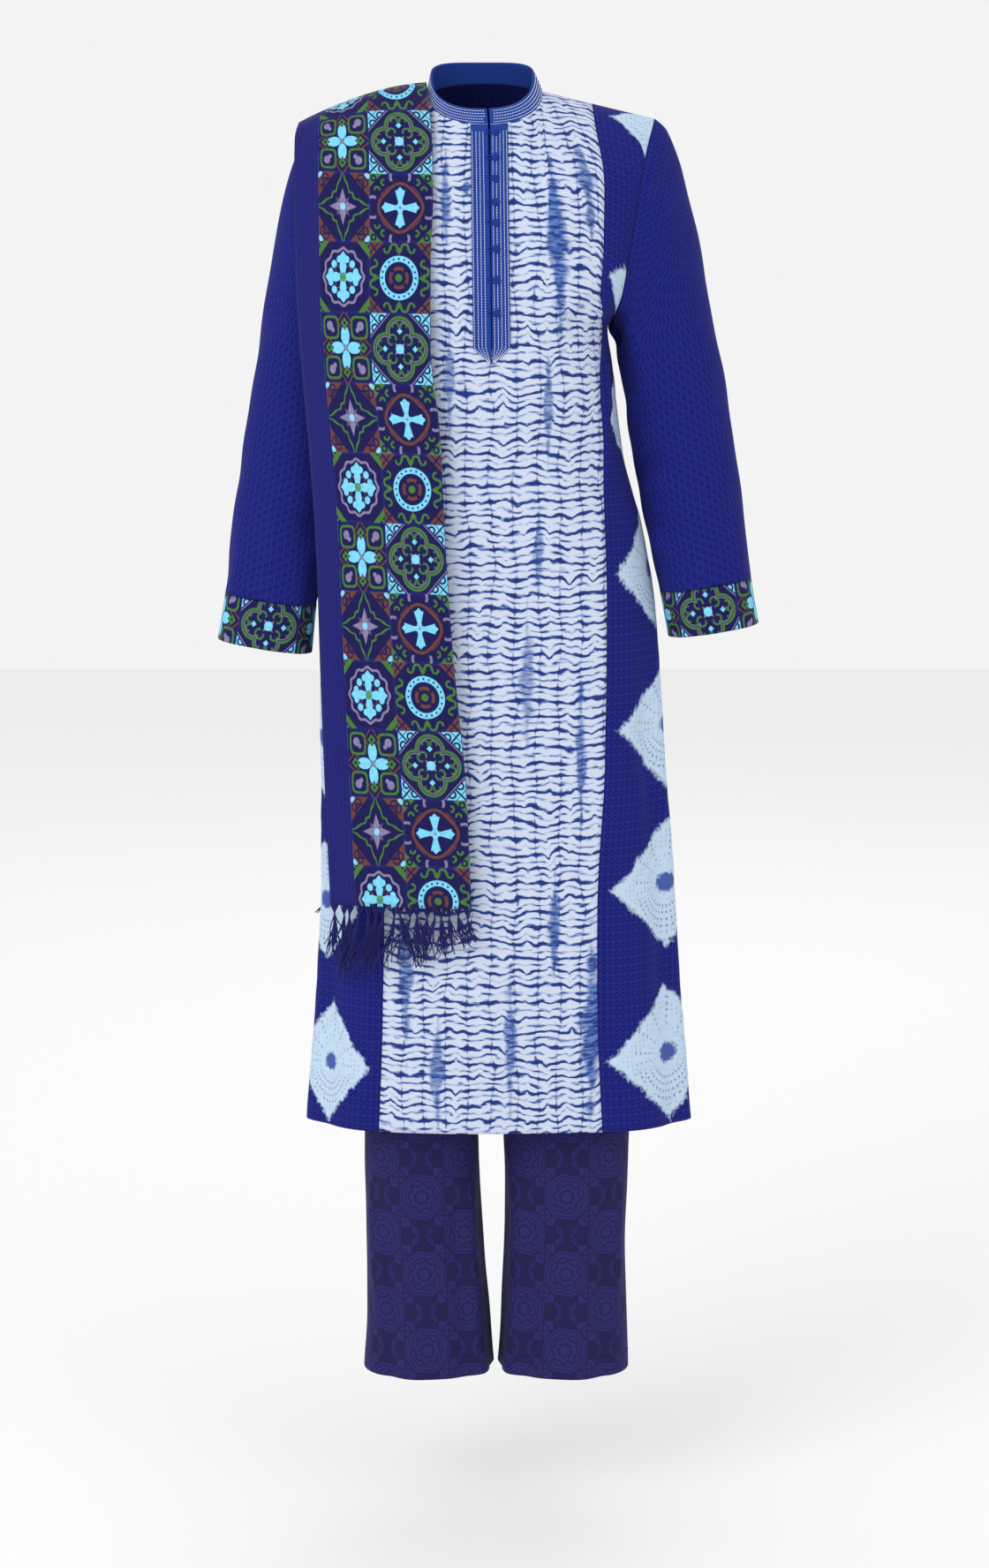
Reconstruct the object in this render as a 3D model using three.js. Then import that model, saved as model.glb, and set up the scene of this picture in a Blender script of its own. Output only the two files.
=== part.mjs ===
// A salwar kameez suit as it is worn: a long A-line kameez with a band collar, a buttoned placket and long
// sleeves, straight trousers under it, and a folded dupatta over the wearer's right shoulder.
//
// Millimetres, +Z up, the front faces -Y and the wearer's left is +X. The origin is where the neck rises from
// the shoulders, which carry the suit. Every piece of cloth is a thin closed wall between an outer and an
// inner grid of points. The body is a general figure: rounded level sections that close over the shoulders.

import * as THREE from "three";

// ---------------------------------------------------------------- driving dimensions

const WALL = 1.4; // kameez and sleeve cloth
const TROUSER_WALL = 1.3;
const BAND_WALL = 1.9; // collar, cuffs and waistband, two layers
const DUPATTA_WALL = 4; // the dupatta, folded lengthwise in four
const SEAM = 0.3; // gap between pieces that are sewn together
const ARMHOLE_GAP = 0.6; // the sleeve turns sharply under the arm, so its ring stands a little further out

const NECK_X = -3; // the neckline's centre
const NECK_HALF = 61;
const NECK_DROP = 34; // front neck point below the side neck points
const NECK_ROUND = 2.3; // squareness of the front neckline
const NECK_BACK_REACH = 0.58; // how far the back neckline goes out over the shoulders' rounding
const NECK_ROOT_RISE = 23; // height of the body's ridge at the middle of the neck

const SHOULDER_SLOPE = 0.24;
const RIDGE_Y = 8; // shoulder seams lie a little behind the side seams
const FRONT_ROUND = 90; // height in which the front comes out of the shoulder ridge
const BACK_ROUND = 80;
const BODY_ROUND = 2.6; // squareness of the body's level sections
const ARMPIT_Z = -250;

const PLACKET_WIDTH = 19.5; // of each strip
const PLACKET_WALL = 1.6;
const PLACKET_END_Z = -265; // where the strips turn into the point
const SLIT_TOP_X = 1.4;
const SLIT_END_X = 4.2;
const SLIT_OPEN_HALF = 1.2; // half gap of the neck slit at the collar
const SLIT_SHUT_HALF = 0.5;
const SLIT_SHUT_Z = -110;

const COLLAR_TOP_PLAN = { x: -6, half: 54.4, front: -46, back: 43, round: 2.5 };
const COLLAR_TOP_HEIGHTS = { front: -18, side: 20.5, back: 31 };
const COLLAR_LIFT = 0.6; // of its lower edge above the neckline

const BUTTON_RADIUS = 4.3;
const BUTTON_HEIGHT = 3.4;
const BUTTON_LIFT = 0.5;
const BUTTON_FROM_SLIT = 5.2;
const BUTTON_HEIGHTS = [-43, -69, -91, -115, -136, -163, -195, -229];

const ROWS_ABOVE_ARMPIT = 8;
const ROWS_BELOW_ARMPIT = [PLACKET_END_Z, -282, -330, -385, -440, -500, -570, -660, -760, -870, -985, -1113];
const ROW_COUNT = ROWS_ABOVE_ARMPIT + ROWS_BELOW_ARMPIT.length;
const SLIT_ROWS = ROWS_ABOVE_ARMPIT + 1; // the slit ends with the placket's straight sides

const NECK_COLUMNS = [0.43, 0.78, 1]; // from the placket's edge to the neckline's end
const CENTRE_COLUMNS = NECK_COLUMNS.length + 3;
const SEAM_AT_SHOULDER = 110; // where the centre panel's seam starts
const SIDE_CELLS = 4; // across a front side panel
const BACK_CELLS = 16;
const SHOULDER_HALF = 177;
const BACK_SHOULDER_SHARES = [0.47, 0.65, 0.82, 1]; // columns along the shoulder seam, from the neck out
const BACK_NECK_SHARES = [-1, -0.8, -0.55, -0.27, 0, 0.27, 0.55, 0.8, 1]; // columns along the back neckline
const RING_CELLS = 16; // around a sleeve

const CROTCH_TOP_Z = -560; // between these heights the hips divide into two legs
const CROTCH_Z = -692;
const WAIST_Z = -410;
const WAISTBAND_HEIGHT = 27;
const LEG_ROUND = 2.3;
const TROUSER_HEM_Z = -1400;
const HIP_HEIGHTS = [WAIST_Z, -480, CROTCH_TOP_Z, -610, -655, CROTCH_Z];
const TROUSER_ROWS = [...HIP_HEIGHTS, -770, -880, -1000, -1120, -1260, TROUSER_HEM_Z];
const LEG_CELLS = 8; // across each leg panel

const DUPATTA_CELLS = 8;
const DUPATTA_SPLIT = 4; // the path row where the shoulder stretch ends, in front and behind
const DUPATTA_END = 12;
const FRINGE_WALL = 7;

// ---------------------------------------------------------------- tables

// Level sections of the kameez: the middle's shift, half width, reach in front and behind, and where the
// seams of the front centre panel run to the wearer's right and left.
const BODY_ROWS = [
  { z: 10, shift: 0, half: 192, front: 58, back: 82, seamRight: 108, seamLeft: 108 },
  { z: -34, shift: 0, half: 188, front: 70, back: 92, seamRight: 113, seamLeft: 113 },
  { z: -100, shift: 0, half: 177, front: 97, back: 105, seamRight: 122, seamLeft: 122 },
  { z: -167, shift: 0, half: 166, front: 113, back: 108, seamRight: 122, seamLeft: 121 },
  { z: -215, shift: 0, half: 152, front: 118, back: 107, seamRight: 120, seamLeft: 118 },
  { z: ARMPIT_Z, shift: 0, half: 128, front: 118, back: 106, seamRight: 120, seamLeft: 121 },
  { z: -300, shift: 0, half: 135, front: 115, back: 103, seamRight: 118, seamLeft: 118 },
  { z: -390, shift: 0, half: 146, front: 110, back: 101, seamRight: 120, seamLeft: 122 },
  { z: -463, shift: 0, half: 166, front: 108, back: 106, seamRight: 122, seamLeft: 124 },
  { z: -555, shift: 1, half: 181, front: 108, back: 117, seamRight: 122, seamLeft: 126.5 },
  { z: -694, shift: 5, half: 184, front: 106, back: 122, seamRight: 119, seamLeft: 125 },
  { z: -870, shift: 11, half: 191, front: 102, back: 119, seamRight: 111, seamLeft: 117 },
  { z: -985, shift: 11.5, half: 198, front: 100, back: 116, seamRight: 113, seamLeft: 118 },
  { z: -1113, shift: 12, half: 208, front: 98, back: 114, seamRight: 118, seamLeft: 124 },
];

// The armhole: distance of its edge from the middle at each height.
const ARMHOLE_ROWS = [
  { z: 0, x: 182 },
  { z: -28, x: 177 },
  { z: -56, x: 169 },
  { z: -87, x: 162 },
  { z: -131, x: 155 },
  { z: -167, x: 149 },
  { z: -210, x: 142 },
  { z: -235, x: 134 },
  { z: ARMPIT_Z, x: 128 },
];

// Sleeve rings from the cap to the top of the cuff, and the cuff's hem: the ring's outer and inner ends away
// from the middle, its centre's y, its half depth, and how far it has turned from the armhole's own shape
// (0) to an oval (1).
const LEFT_ARM_ROWS = [
  { outX: 189, outZ: -38, inX: 130, inZ: -253, y: 3, depth: 66, oval: 0.12 },
  { outX: 203, outZ: -70, inX: 132, inZ: -257, y: 2, depth: 64, oval: 0.35 },
  { outX: 214, outZ: -110, inX: 135, inZ: -264, y: 1, depth: 61, oval: 0.65 },
  { outX: 227, outZ: -167, inX: 139, inZ: -279, y: 0, depth: 57, oval: 1 },
  { outX: 240, outZ: -237, inX: 144, inZ: -308, y: 1, depth: 53, oval: 1 },
  { outX: 254, outZ: -305, inX: 150, inZ: -348, y: 2, depth: 50, oval: 1 },
  { outX: 266, outZ: -378, inX: 158, inZ: -402, y: -1, depth: 48, oval: 1 },
  { outX: 276, outZ: -450, inX: 171, inZ: -466, y: -10, depth: 47, oval: 1 },
  { outX: 283, outZ: -515, inX: 185, inZ: -530, y: -21, depth: 46, oval: 1 },
  { outX: 291, outZ: -563, inX: 194, inZ: -578, y: -29, depth: 46, oval: 1 },
];
const RIGHT_ARM_ROWS = [
  { outX: 189, outZ: -38, inX: 130, inZ: -253, y: 3, depth: 66, oval: 0.12 },
  { outX: 205, outZ: -70, inX: 132, inZ: -257, y: 2, depth: 64, oval: 0.35 },
  { outX: 218, outZ: -110, inX: 135, inZ: -264, y: 1, depth: 61, oval: 0.65 },
  { outX: 230, outZ: -167, inX: 139, inZ: -279, y: 0, depth: 57, oval: 1 },
  { outX: 241, outZ: -237, inX: 144, inZ: -308, y: 1, depth: 53, oval: 1 },
  { outX: 252, outZ: -305, inX: 150, inZ: -348, y: 2, depth: 50, oval: 1 },
  { outX: 264, outZ: -383, inX: 158, inZ: -407, y: -1, depth: 48, oval: 1 },
  { outX: 275, outZ: -458, inX: 171, inZ: -474, y: -10, depth: 47, oval: 1 },
  { outX: 283, outZ: -531, inX: 184, inZ: -545, y: -21, depth: 46, oval: 1 },
  { outX: 291, outZ: -580, inX: 189, inZ: -596, y: -29, depth: 46, oval: 1 },
];

// Level sections of the trousers at the hips, inside the kameez.
const HIP_ROWS = [
  { z: -380, shift: 0, half: 117, front: 87, back: 83 },
  { z: WAIST_Z, shift: 0, half: 119, front: 88, back: 85 },
  { z: -500, shift: 1, half: 142, front: 95, back: 99 },
  { z: -610, shift: 3, half: 161, front: 97, back: 108 },
  { z: CROTCH_Z, shift: 5, half: 165, front: 90, back: 104 },
];

// Level sections of each trouser leg: centre, half width and half depth.
const LEFT_LEG_ROWS = [
  { z: CROTCH_TOP_Z, x: 88, y: 6, half: 81, depth: 96 },
  { z: CROTCH_Z, x: 88, y: 6, half: 81, depth: 94 },
  { z: -800, x: 87, y: 3, half: 77, depth: 80 },
  { z: -950, x: 86.5, y: -1, half: 73, depth: 69 },
  { z: -1145, x: 86.5, y: 0, half: 69.5, depth: 62 },
  { z: -1242, x: 86, y: 0, half: 66.5, depth: 60 },
  { z: -1340, x: 85, y: 0, half: 69.5, depth: 61 },
  { z: -1400, x: 84, y: 0, half: 72, depth: 62 },
];
const RIGHT_LEG_ROWS = [
  { z: CROTCH_TOP_Z, x: -78, y: 6, half: 81, depth: 96 },
  { z: CROTCH_Z, x: -78, y: 6, half: 81, depth: 94 },
  { z: -800, x: -77, y: 3, half: 76, depth: 80 },
  { z: -950, x: -75, y: -1, half: 70, depth: 69 },
  { z: -1145, x: -73.5, y: 0, half: 63, depth: 62 },
  { z: -1242, x: -71.5, y: 0, half: 64, depth: 60 },
  { z: -1340, x: -67.5, y: 0, half: 67.5, depth: 61 },
  { z: -1400, x: -66.5, y: 0, half: 71.5, depth: 62 },
];

// The dupatta's outer face, by steps from the shoulder's ridge down to its end: the edge nearer the neck, the
// edge over the sleeve, how far the middle bows out, and the tilt of the cloth (90 lies level, 0 hangs).
const FRONT_FALL_ROWS = [
  { step: 0, neckX: -66, neckY: 8, neckZ: 10, armX: -201, armY: 6, armZ: -32, bow: 7, tilt: 90 },
  { step: 1, neckX: -65, neckY: -20, neckZ: 5, armX: -202, armY: -14, armZ: -37, bow: 8, tilt: 70 },
  { step: 2, neckX: -63, neckY: -44, neckZ: -11, armX: -204, armY: -30, armZ: -50, bow: 9, tilt: 50 },
  { step: 3, neckX: -60, neckY: -68, neckZ: -35, armX: -204, armY: -45, armZ: -76, bow: 10, tilt: 34 },
  { step: 4, neckX: -58, neckY: -90, neckZ: -68, armX: -204, armY: -56, armZ: -112, bow: 11, tilt: 22 },
  { step: 5, neckX: -57.5, neckY: -109, neckZ: -115, armX: -203, armY: -63, armZ: -160, bow: 12, tilt: 10 },
  { step: 6, neckX: -60, neckY: -123, neckZ: -185, armX: -201.5, armY: -68, armZ: -220, bow: 12, tilt: 2 },
  { step: 7, neckX: -60, neckY: -128, neckZ: -262, armX: -196, armY: -70, armZ: -297, bow: 11, tilt: 0 },
  { step: 8, neckX: -50, neckY: -128, neckZ: -360, armX: -188, armY: -72, armZ: -392, bow: 9, tilt: 0 },
  { step: 9, neckX: -45, neckY: -127, neckZ: -470, armX: -182, armY: -77, armZ: -492, bow: 7, tilt: 0 },
  { step: 10, neckX: -36, neckY: -125, neckZ: -600, armX: -178.5, armY: -84, armZ: -612, bow: 5, tilt: 0 },
  { step: 11, neckX: -23, neckY: -122, neckZ: -740, armX: -174, armY: -90, armZ: -745, bow: 4, tilt: 0 },
  { step: 12, neckX: -18, neckY: -120, neckZ: -861, armX: -169, armY: -94, armZ: -861, bow: 3, tilt: 0 },
];
const BACK_FALL_ROWS = [
  { step: 0, neckX: -66, neckY: 8, neckZ: 10, armX: -201, armY: 6, armZ: -32, bow: 7, tilt: 90 },
  { step: 1, neckX: -65, neckY: 38, neckZ: 3, armX: -202, armY: 26, armZ: -38, bow: 8, tilt: 70 },
  { step: 2, neckX: -64, neckY: 68, neckZ: -14, armX: -204, armY: 44, armZ: -54, bow: 9, tilt: 50 },
  { step: 3, neckX: -63, neckY: 94, neckZ: -42, armX: -205, armY: 58, armZ: -82, bow: 10, tilt: 32 },
  { step: 4, neckX: -62, neckY: 109, neckZ: -80, armX: -205, armY: 66, armZ: -120, bow: 11, tilt: 18 },
  { step: 5, neckX: -62, neckY: 116, neckZ: -130, armX: -204, armY: 71, armZ: -170, bow: 11, tilt: 8 },
  { step: 6, neckX: -62, neckY: 120, neckZ: -200, armX: -202, armY: 74, armZ: -232, bow: 11, tilt: 2 },
  { step: 7, neckX: -58, neckY: 122, neckZ: -280, armX: -197, armY: 77, armZ: -308, bow: 10, tilt: 0 },
  { step: 8, neckX: -54, neckY: 124, neckZ: -380, armX: -191, armY: 81, armZ: -404, bow: 9, tilt: 0 },
  { step: 9, neckX: -48, neckY: 129, neckZ: -490, armX: -184, armY: 88, armZ: -508, bow: 8, tilt: 0 },
  { step: 10, neckX: -40, neckY: 134, neckZ: -610, armX: -179, armY: 95, armZ: -620, bow: 7, tilt: 0 },
  { step: 11, neckX: -31, neckY: 135, neckZ: -740, armX: -175, armY: 100, armZ: -745, bow: 5, tilt: 0 },
  { step: 12, neckX: -24, neckY: 134, neckZ: -861, armX: -171, armY: 102, armZ: -861, bow: 4, tilt: 0 },
];

// The fringe's length at each share of the dupatta's width, from the edge nearer the neck.
const FRINGE_ROWS = [
  { share: 0, length: 34 },
  { share: 0.3, length: 58 },
  { share: 0.55, length: 62 },
  { share: 0.8, length: 84 },
  { share: 0.93, length: 78 },
  { share: 1, length: 48 },
];

// ---------------------------------------------------------------- helpers

const lerp = (from, to, share) => from + (to - from) * share;
const clamp = (value, low, high) => Math.min(Math.max(value, low), high);
const power = (value, exponent) => Math.sign(value) * Math.abs(value) ** exponent;
const smooth = (share) => share * share * (3 - 2 * share);
const range = (count) => Array.from({ length: count }, (_, index) => index);

// A table as a function of its key column: each other column follows a cubic through the rows whose slope at
// a row is the harmonic mean of the slopes beside it, so it never overshoots.
function profile(key, table) {
  const rows = [...table].sort((a, b) => a[key] - b[key]);
  const columns = Object.keys(rows[0]).filter((name) => name !== key);
  const slopes = columns.map((name) => {
    const rises = rows.slice(1).map((row, i) => (row[name] - rows[i][name]) / (row[key] - rows[i][key]));
    return rows.map((_, i) => {
      const before = rises[Math.max(i - 1, 0)];
      const after = rises[Math.min(i, rises.length - 1)];
      return before * after > 0 ? (2 * before * after) / (before + after) : 0;
    });
  });
  return (place) => {
    const at = clamp(place, rows[0][key], rows[rows.length - 1][key]);
    const i = Math.max(rows.slice(0, -1).findLastIndex((row) => row[key] <= at), 0);
    const width = rows[i + 1][key] - rows[i][key];
    const t = (at - rows[i][key]) / width;
    const values = {};
    columns.forEach((name, c) => {
      const rise = rows[i + 1][name] - rows[i][name];
      const startBend = slopes[c][i] * width - rise;
      const endBend = rise - slopes[c][i + 1] * width;
      values[name] = rows[i][name] + rise * t + t * (1 - t) * (startBend * (1 - t) + endBend * t);
    });
    return values;
  };
}

// A closed wall between two grids of points, outer[i][j] and inner[i][j]. A ring joins its last column to its
// first. Cells that skip(i, j) names are left out, and every free edge gets a rim.
function wallGeometry(outer, inner, { ring = false, skip = () => false } = {}) {
  const columns = outer.length;
  const rows = outer[0].length;
  const across = ring ? columns : columns - 1;
  const points = [...outer.flat(), ...inner.flat()];
  const index = (i, j, face) => face * columns * rows + (i % columns) * rows + j;
  const wraps = (i) => (ring ? (i + across) % across : i);
  const cell = (i, j) => j >= 0 && j < rows - 1 && wraps(i) >= 0 && wraps(i) < across && !skip(wraps(i), j);
  const faces = [];
  const quad = (a, b, c, d) => faces.push(a, b, c, a, c, d);
  for (const i of range(across)) {
    for (const j of range(rows - 1)) {
      if (!cell(i, j)) continue;
      quad(index(i, j, 0), index(i + 1, j, 0), index(i + 1, j + 1, 0), index(i, j + 1, 0));
      quad(index(i, j, 1), index(i, j + 1, 1), index(i + 1, j + 1, 1), index(i + 1, j, 1));
      const sides = [
        { open: !cell(i, j - 1), from: [i, j], to: [i + 1, j] },
        { open: !cell(i + 1, j), from: [i + 1, j], to: [i + 1, j + 1] },
        { open: !cell(i, j + 1), from: [i + 1, j + 1], to: [i, j + 1] },
        { open: !cell(i - 1, j), from: [i, j + 1], to: [i, j] },
      ];
      for (const { open, from, to } of sides) {
        if (open) quad(index(...from, 0), index(...from, 1), index(...to, 1), index(...to, 0));
      }
    }
  }
  return outwardGeometry(points, faces);
}

// A geometry from points and triangles, turned so that the triangles face out.
function outwardGeometry(points, faces) {
  let volume = 0;
  for (let f = 0; f < faces.length; f += 3) {
    const [a, b, c] = [points[faces[f]], points[faces[f + 1]], points[faces[f + 2]]];
    volume += a.dot(b.clone().cross(c));
  }
  if (volume < 0) faces.reverse();
  const geometry = new THREE.BufferGeometry().setFromPoints(points);
  geometry.setIndex(faces);
  geometry.computeVertexNormals();
  return geometry;
}

// Outer and inner grids from a function of column, row and inset.
const grids = (columns, rows, pointAt, wall) =>
  [0, wall].map((inset) => range(columns).map((i) => range(rows).map((j) => pointAt(i, j, inset))));

// ---------------------------------------------------------------- the kameez's form

const body = profile("z", BODY_ROWS);
const armhole = profile("z", ARMHOLE_ROWS);

const neckShare = (x) => Math.abs(x - NECK_X) / NECK_HALF;
const insideNeck = (x) => neckShare(x) < 1 - 1e-6;

// Height of the ridge that the front and the back come down from: the shoulder slope, and the neck's root.
function ridgeZ(x) {
  const share = neckShare(x);
  return share < 1 ? NECK_ROOT_RISE * (1 - share * share) : -SHOULDER_SLOPE * NECK_HALF * (share - 1);
}

// The y of the front (side -1) or the back (side 1) over a point: a rounded level section, drawn in to the
// ridge above by a quarter circle. A negative inset lies outside the cloth.
function bodyY(side, x, z, inset) {
  const level = body(z);
  const depth = (side < 0 ? level.front : level.back) - inset;
  const share = Math.min(Math.abs(x - level.shift) / (level.half - inset), 1);
  const bulge = depth * (1 - share ** BODY_ROUND) ** (1 / BODY_ROUND);
  const round = side < 0 ? FRONT_ROUND : BACK_ROUND;
  const drop = clamp((ridgeZ(x) - inset - z) / round, 0, 1);
  const turn = Math.sqrt(1 - (1 - drop) ** 2);
  return lerp(RIDGE_Y, side * bulge, turn) + (side * SEAM) / 2;
}

// The top edge of the front or the back: the neckline, or the shoulder seam.
function topZ(side, x, inset) {
  const ridge = ridgeZ(x) - inset;
  if (!insideNeck(x)) return ridge;
  const opening = (1 - neckShare(x) ** NECK_ROUND) ** (1 / NECK_ROUND);
  if (side < 0) return Math.min(-NECK_DROP * opening, ridge);
  const reach = NECK_BACK_REACH * Math.sqrt(1 - neckShare(x) ** 2);
  return ridgeZ(x) - BACK_ROUND * (1 - Math.sqrt(1 - reach * reach));
}

// The outer edge of the body's panels: the armhole, and below it the side seam.
function edgeX(hand, z, inset) {
  const level = body(z);
  const limit = level.half - inset;
  return level.shift + hand * (z > ARMPIT_Z ? Math.min(armhole(z).x, limit) : limit);
}

const seamX = (hand, z) => (hand < 0 ? -body(z).seamRight : body(z).seamLeft);
const slitX = (z) => lerp(SLIT_TOP_X, SLIT_END_X, clamp((z + NECK_DROP) / (PLACKET_END_Z + NECK_DROP), 0, 1));
const slitHalf = (z) =>
  lerp(SLIT_OPEN_HALF, SLIT_SHUT_HALF, clamp((z + NECK_DROP) / (SLIT_SHUT_Z + NECK_DROP), 0, 1));

// How far down to the armpit a row lies: rows stand closer at the shoulder and at the armpit.
const rowTurn = (row) => (Math.PI * Math.min(row, ROWS_ABOVE_ARMPIT)) / ROWS_ABOVE_ARMPIT;
const rowShare = (row) => (1 - Math.cos(rowTurn(row))) / 2;

// A point of a body panel. A column keeps its own place across the panel, columnX(z), and its rows run from
// the top edge to the armpit's level, and then down level by level.
function panelPoint(side, columnX, row, inset) {
  if (row === 0) {
    const x = columnX(topZ(side, columnX(0), inset));
    const z = topZ(side, x, inset);
    return new THREE.Vector3(x, bodyY(side, x, z, inset), z);
  }
  const top = topZ(side, columnX(topZ(side, columnX(0), inset)), inset);
  const below = row - ROWS_ABOVE_ARMPIT;
  const z = below > 0 ? ROWS_BELOW_ARMPIT[below - 1] : lerp(top, ARMPIT_Z, rowShare(row));
  const x = columnX(z);
  return new THREE.Vector3(x, bodyY(side, x, z, inset), z);
}

// Columns of the front centre panel to one hand of the slit: the slit's edge, the placket's edge, then
// shares of the way to the panel's seam, closer at the neckline where it curves.
function centreColumnX(hand, column, z) {
  if (column === 0) return slitX(z) + hand * slitHalf(z);
  const placketEdge = slitX(z) + hand * PLACKET_WIDTH;
  const edgeAtTop = SLIT_TOP_X + hand * PLACKET_WIDTH;
  const neckEdge = NECK_X + hand * NECK_HALF;
  const seamAtTop = hand * SEAM_AT_SHOULDER;
  const topPlaces = [
    edgeAtTop,
    ...NECK_COLUMNS.map((share) => lerp(edgeAtTop, neckEdge, share)),
    (neckEdge + seamAtTop) / 2,
    seamAtTop,
  ];
  const share = (topPlaces[column - 1] - edgeAtTop) / (seamAtTop - edgeAtTop);
  const place = lerp(placketEdge, seamX(hand, z) - (hand * SEAM) / 2, share);
  const onNeckEdge = column === NECK_COLUMNS.length + 1 && z > -1;
  return onNeckEdge ? neckEdge : place;
}

// ---------------------------------------------------------------- materials

const cloth = (color, roughness) =>
  new THREE.MeshStandardMaterial({ color, roughness, metalness: 0, side: THREE.DoubleSide });
const materials = {
  stripedCloth: cloth(0x9fb3d6, 0.8),
  blueCloth: cloth(0x2c328a, 0.8),
  royalTrim: cloth(0x1e46a0, 0.7),
  cuffPrint: cloth(0x3d5a6a, 0.75),
  buttonCloth: cloth(0x2450b0, 0.6),
  trouserCloth: cloth(0x302c6e, 0.8),
  dupattaCloth: cloth(0x28406e, 0.7),
  fringeThread: cloth(0x1c1a40, 0.85),
};

const suit = new THREE.Group();
suit.name = "salwar_kameez_suit";

function addPiece(name, geometry, material) {
  const mesh = new THREE.Mesh(geometry, material);
  mesh.name = name;
  suit.add(mesh);
  return mesh;
}

// ---------------------------------------------------------------- kameez panels

// The front centre panel runs from one seam to the other past the slit, whose cell is left out down to the
// placket's end.
function frontCentrePoint(column, row, inset) {
  const fromSlit = column - CENTRE_COLUMNS - 0.5;
  const hand = Math.sign(fromSlit);
  const place = Math.abs(fromSlit) - 0.5;
  return panelPoint(-1, (z) => centreColumnX(hand, place, z), row, inset);
}

function addFrontCentre() {
  const [outer, inner] = grids(2 * CENTRE_COLUMNS + 2, ROW_COUNT + 1, frontCentrePoint, WALL);
  const skip = (i, j) => i === CENTRE_COLUMNS && j < SLIT_ROWS;
  addPiece("kameez_front_centre", wallGeometry(outer, inner, { skip }), materials.stripedCloth);
  return outer;
}

// A front side panel's columns lie at equal turns of the body's section between its seam and the edge.
function frontSidePoint(hand, column, row, inset) {
  const columnX = (z) => {
    const { half, shift } = body(z);
    const reach = half - inset;
    const turnOf = (x) => Math.asin(Math.min(Math.abs(x - shift) / reach, 1) ** (BODY_ROUND / 2));
    const start = seamX(hand, z) + (hand * SEAM) / 2;
    if (column === 0) return start;
    const turn = lerp(turnOf(start), turnOf(edgeX(hand, z, inset)), column / SIDE_CELLS);
    return shift + hand * reach * Math.sin(turn) ** (2 / BODY_ROUND);
  };
  return panelPoint(-1, columnX, row, inset);
}

function addFrontSide(name, hand) {
  const pointAt = (i, j, inset) => frontSidePoint(hand, i, j, inset);
  const [outer, inner] = grids(SIDE_CELLS + 1, ROW_COUNT + 1, pointAt, WALL);
  addPiece(name, wallGeometry(outer, inner), materials.blueCloth);
  return outer;
}

// The back's columns stand at their own places along the shoulders and the neckline at the top, and spread to
// equal turns of the body's section at the armpit.
const backTopPlaces = [
  ...BACK_SHOULDER_SHARES.map((share) => -share * SHOULDER_HALF).reverse(),
  ...BACK_NECK_SHARES.map((share) => NECK_X + NECK_HALF * share),
  ...BACK_SHOULDER_SHARES.map((share) => share * SHOULDER_HALF),
];

function backPoint(column, row, inset) {
  const turn = lerp(-Math.PI / 2, Math.PI / 2, column / BACK_CELLS);
  const hand = Math.sign(turn) || 1;
  const onEdge = column % BACK_CELLS === 0;
  const columnX = (z) => {
    const edge = edgeX(hand, z, inset);
    if (onEdge) return edge;
    const lowPlace = lerp(body(z).shift, edge, Math.abs(Math.sin(turn)) ** (2 / BODY_ROUND));
    return lerp(backTopPlaces[column], lowPlace, rowShare(row));
  };
  return panelPoint(1, columnX, row, inset);
}

function addBack() {
  const [outer, inner] = grids(BACK_CELLS + 1, ROW_COUNT + 1, backPoint, WALL);
  addPiece("kameez_back", wallGeometry(outer, inner), materials.blueCloth);
  return outer;
}

// ---------------------------------------------------------------- sleeves and cuffs

// The armhole's ring of points, from the shoulder tip down the front edge and up the back edge.
function armholeRing(frontEdge, backEdge) {
  return range(RING_CELLS).map((i) => {
    const row = i <= ROWS_ABOVE_ARMPIT ? i : RING_CELLS - i;
    if (row === 0 || row === ROWS_ABOVE_ARMPIT) return frontEdge[row].clone().lerp(backEdge[row], 0.5);
    return (i < ROWS_ABOVE_ARMPIT ? frontEdge : backEdge)[row].clone();
  });
}

// A sleeve's ring between its outer and inner ends. Each point keeps a share of its offset on the armhole,
// along the ring's long axis, forward, and square to both.
function sleeveRing(hand, row, armholePoints, inset) {
  const [tip, pit] = [armholePoints[0], armholePoints[ROWS_ABOVE_ARMPIT]];
  const middle = tip.clone().lerp(pit, 0.5);
  const long = tip.clone().sub(middle);
  const square = new THREE.Vector3(long.z, 0, -long.x).normalize();
  const out = new THREE.Vector3(hand * row.outX, row.y, row.outZ);
  const centre = out.clone().lerp(new THREE.Vector3(hand * row.inX, row.y, row.inZ), 0.5);
  const axis = out.sub(centre);
  const ringSquare = new THREE.Vector3(axis.z, 0, -axis.x).normalize();
  const shrink = 1 - inset / axis.length();
  return armholePoints.map((point, i) => {
    const turn = (2 * Math.PI * i) / RING_CELLS;
    const offset = point.clone().sub(middle);
    const along = lerp(offset.dot(long) / long.lengthSq(), Math.cos(turn), row.oval);
    const armholeDepth = offset.y * (1 - inset / row.depth);
    const forward = lerp(armholeDepth, -Math.sin(turn) * (row.depth - inset), row.oval);
    const bow = offset.dot(square) * (1 - row.oval);
    return centre.clone().addScaledVector(axis, along * shrink).addScaledVector(ringSquare, bow)
      .add(new THREE.Vector3(0, forward, 0));
  });
}

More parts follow.
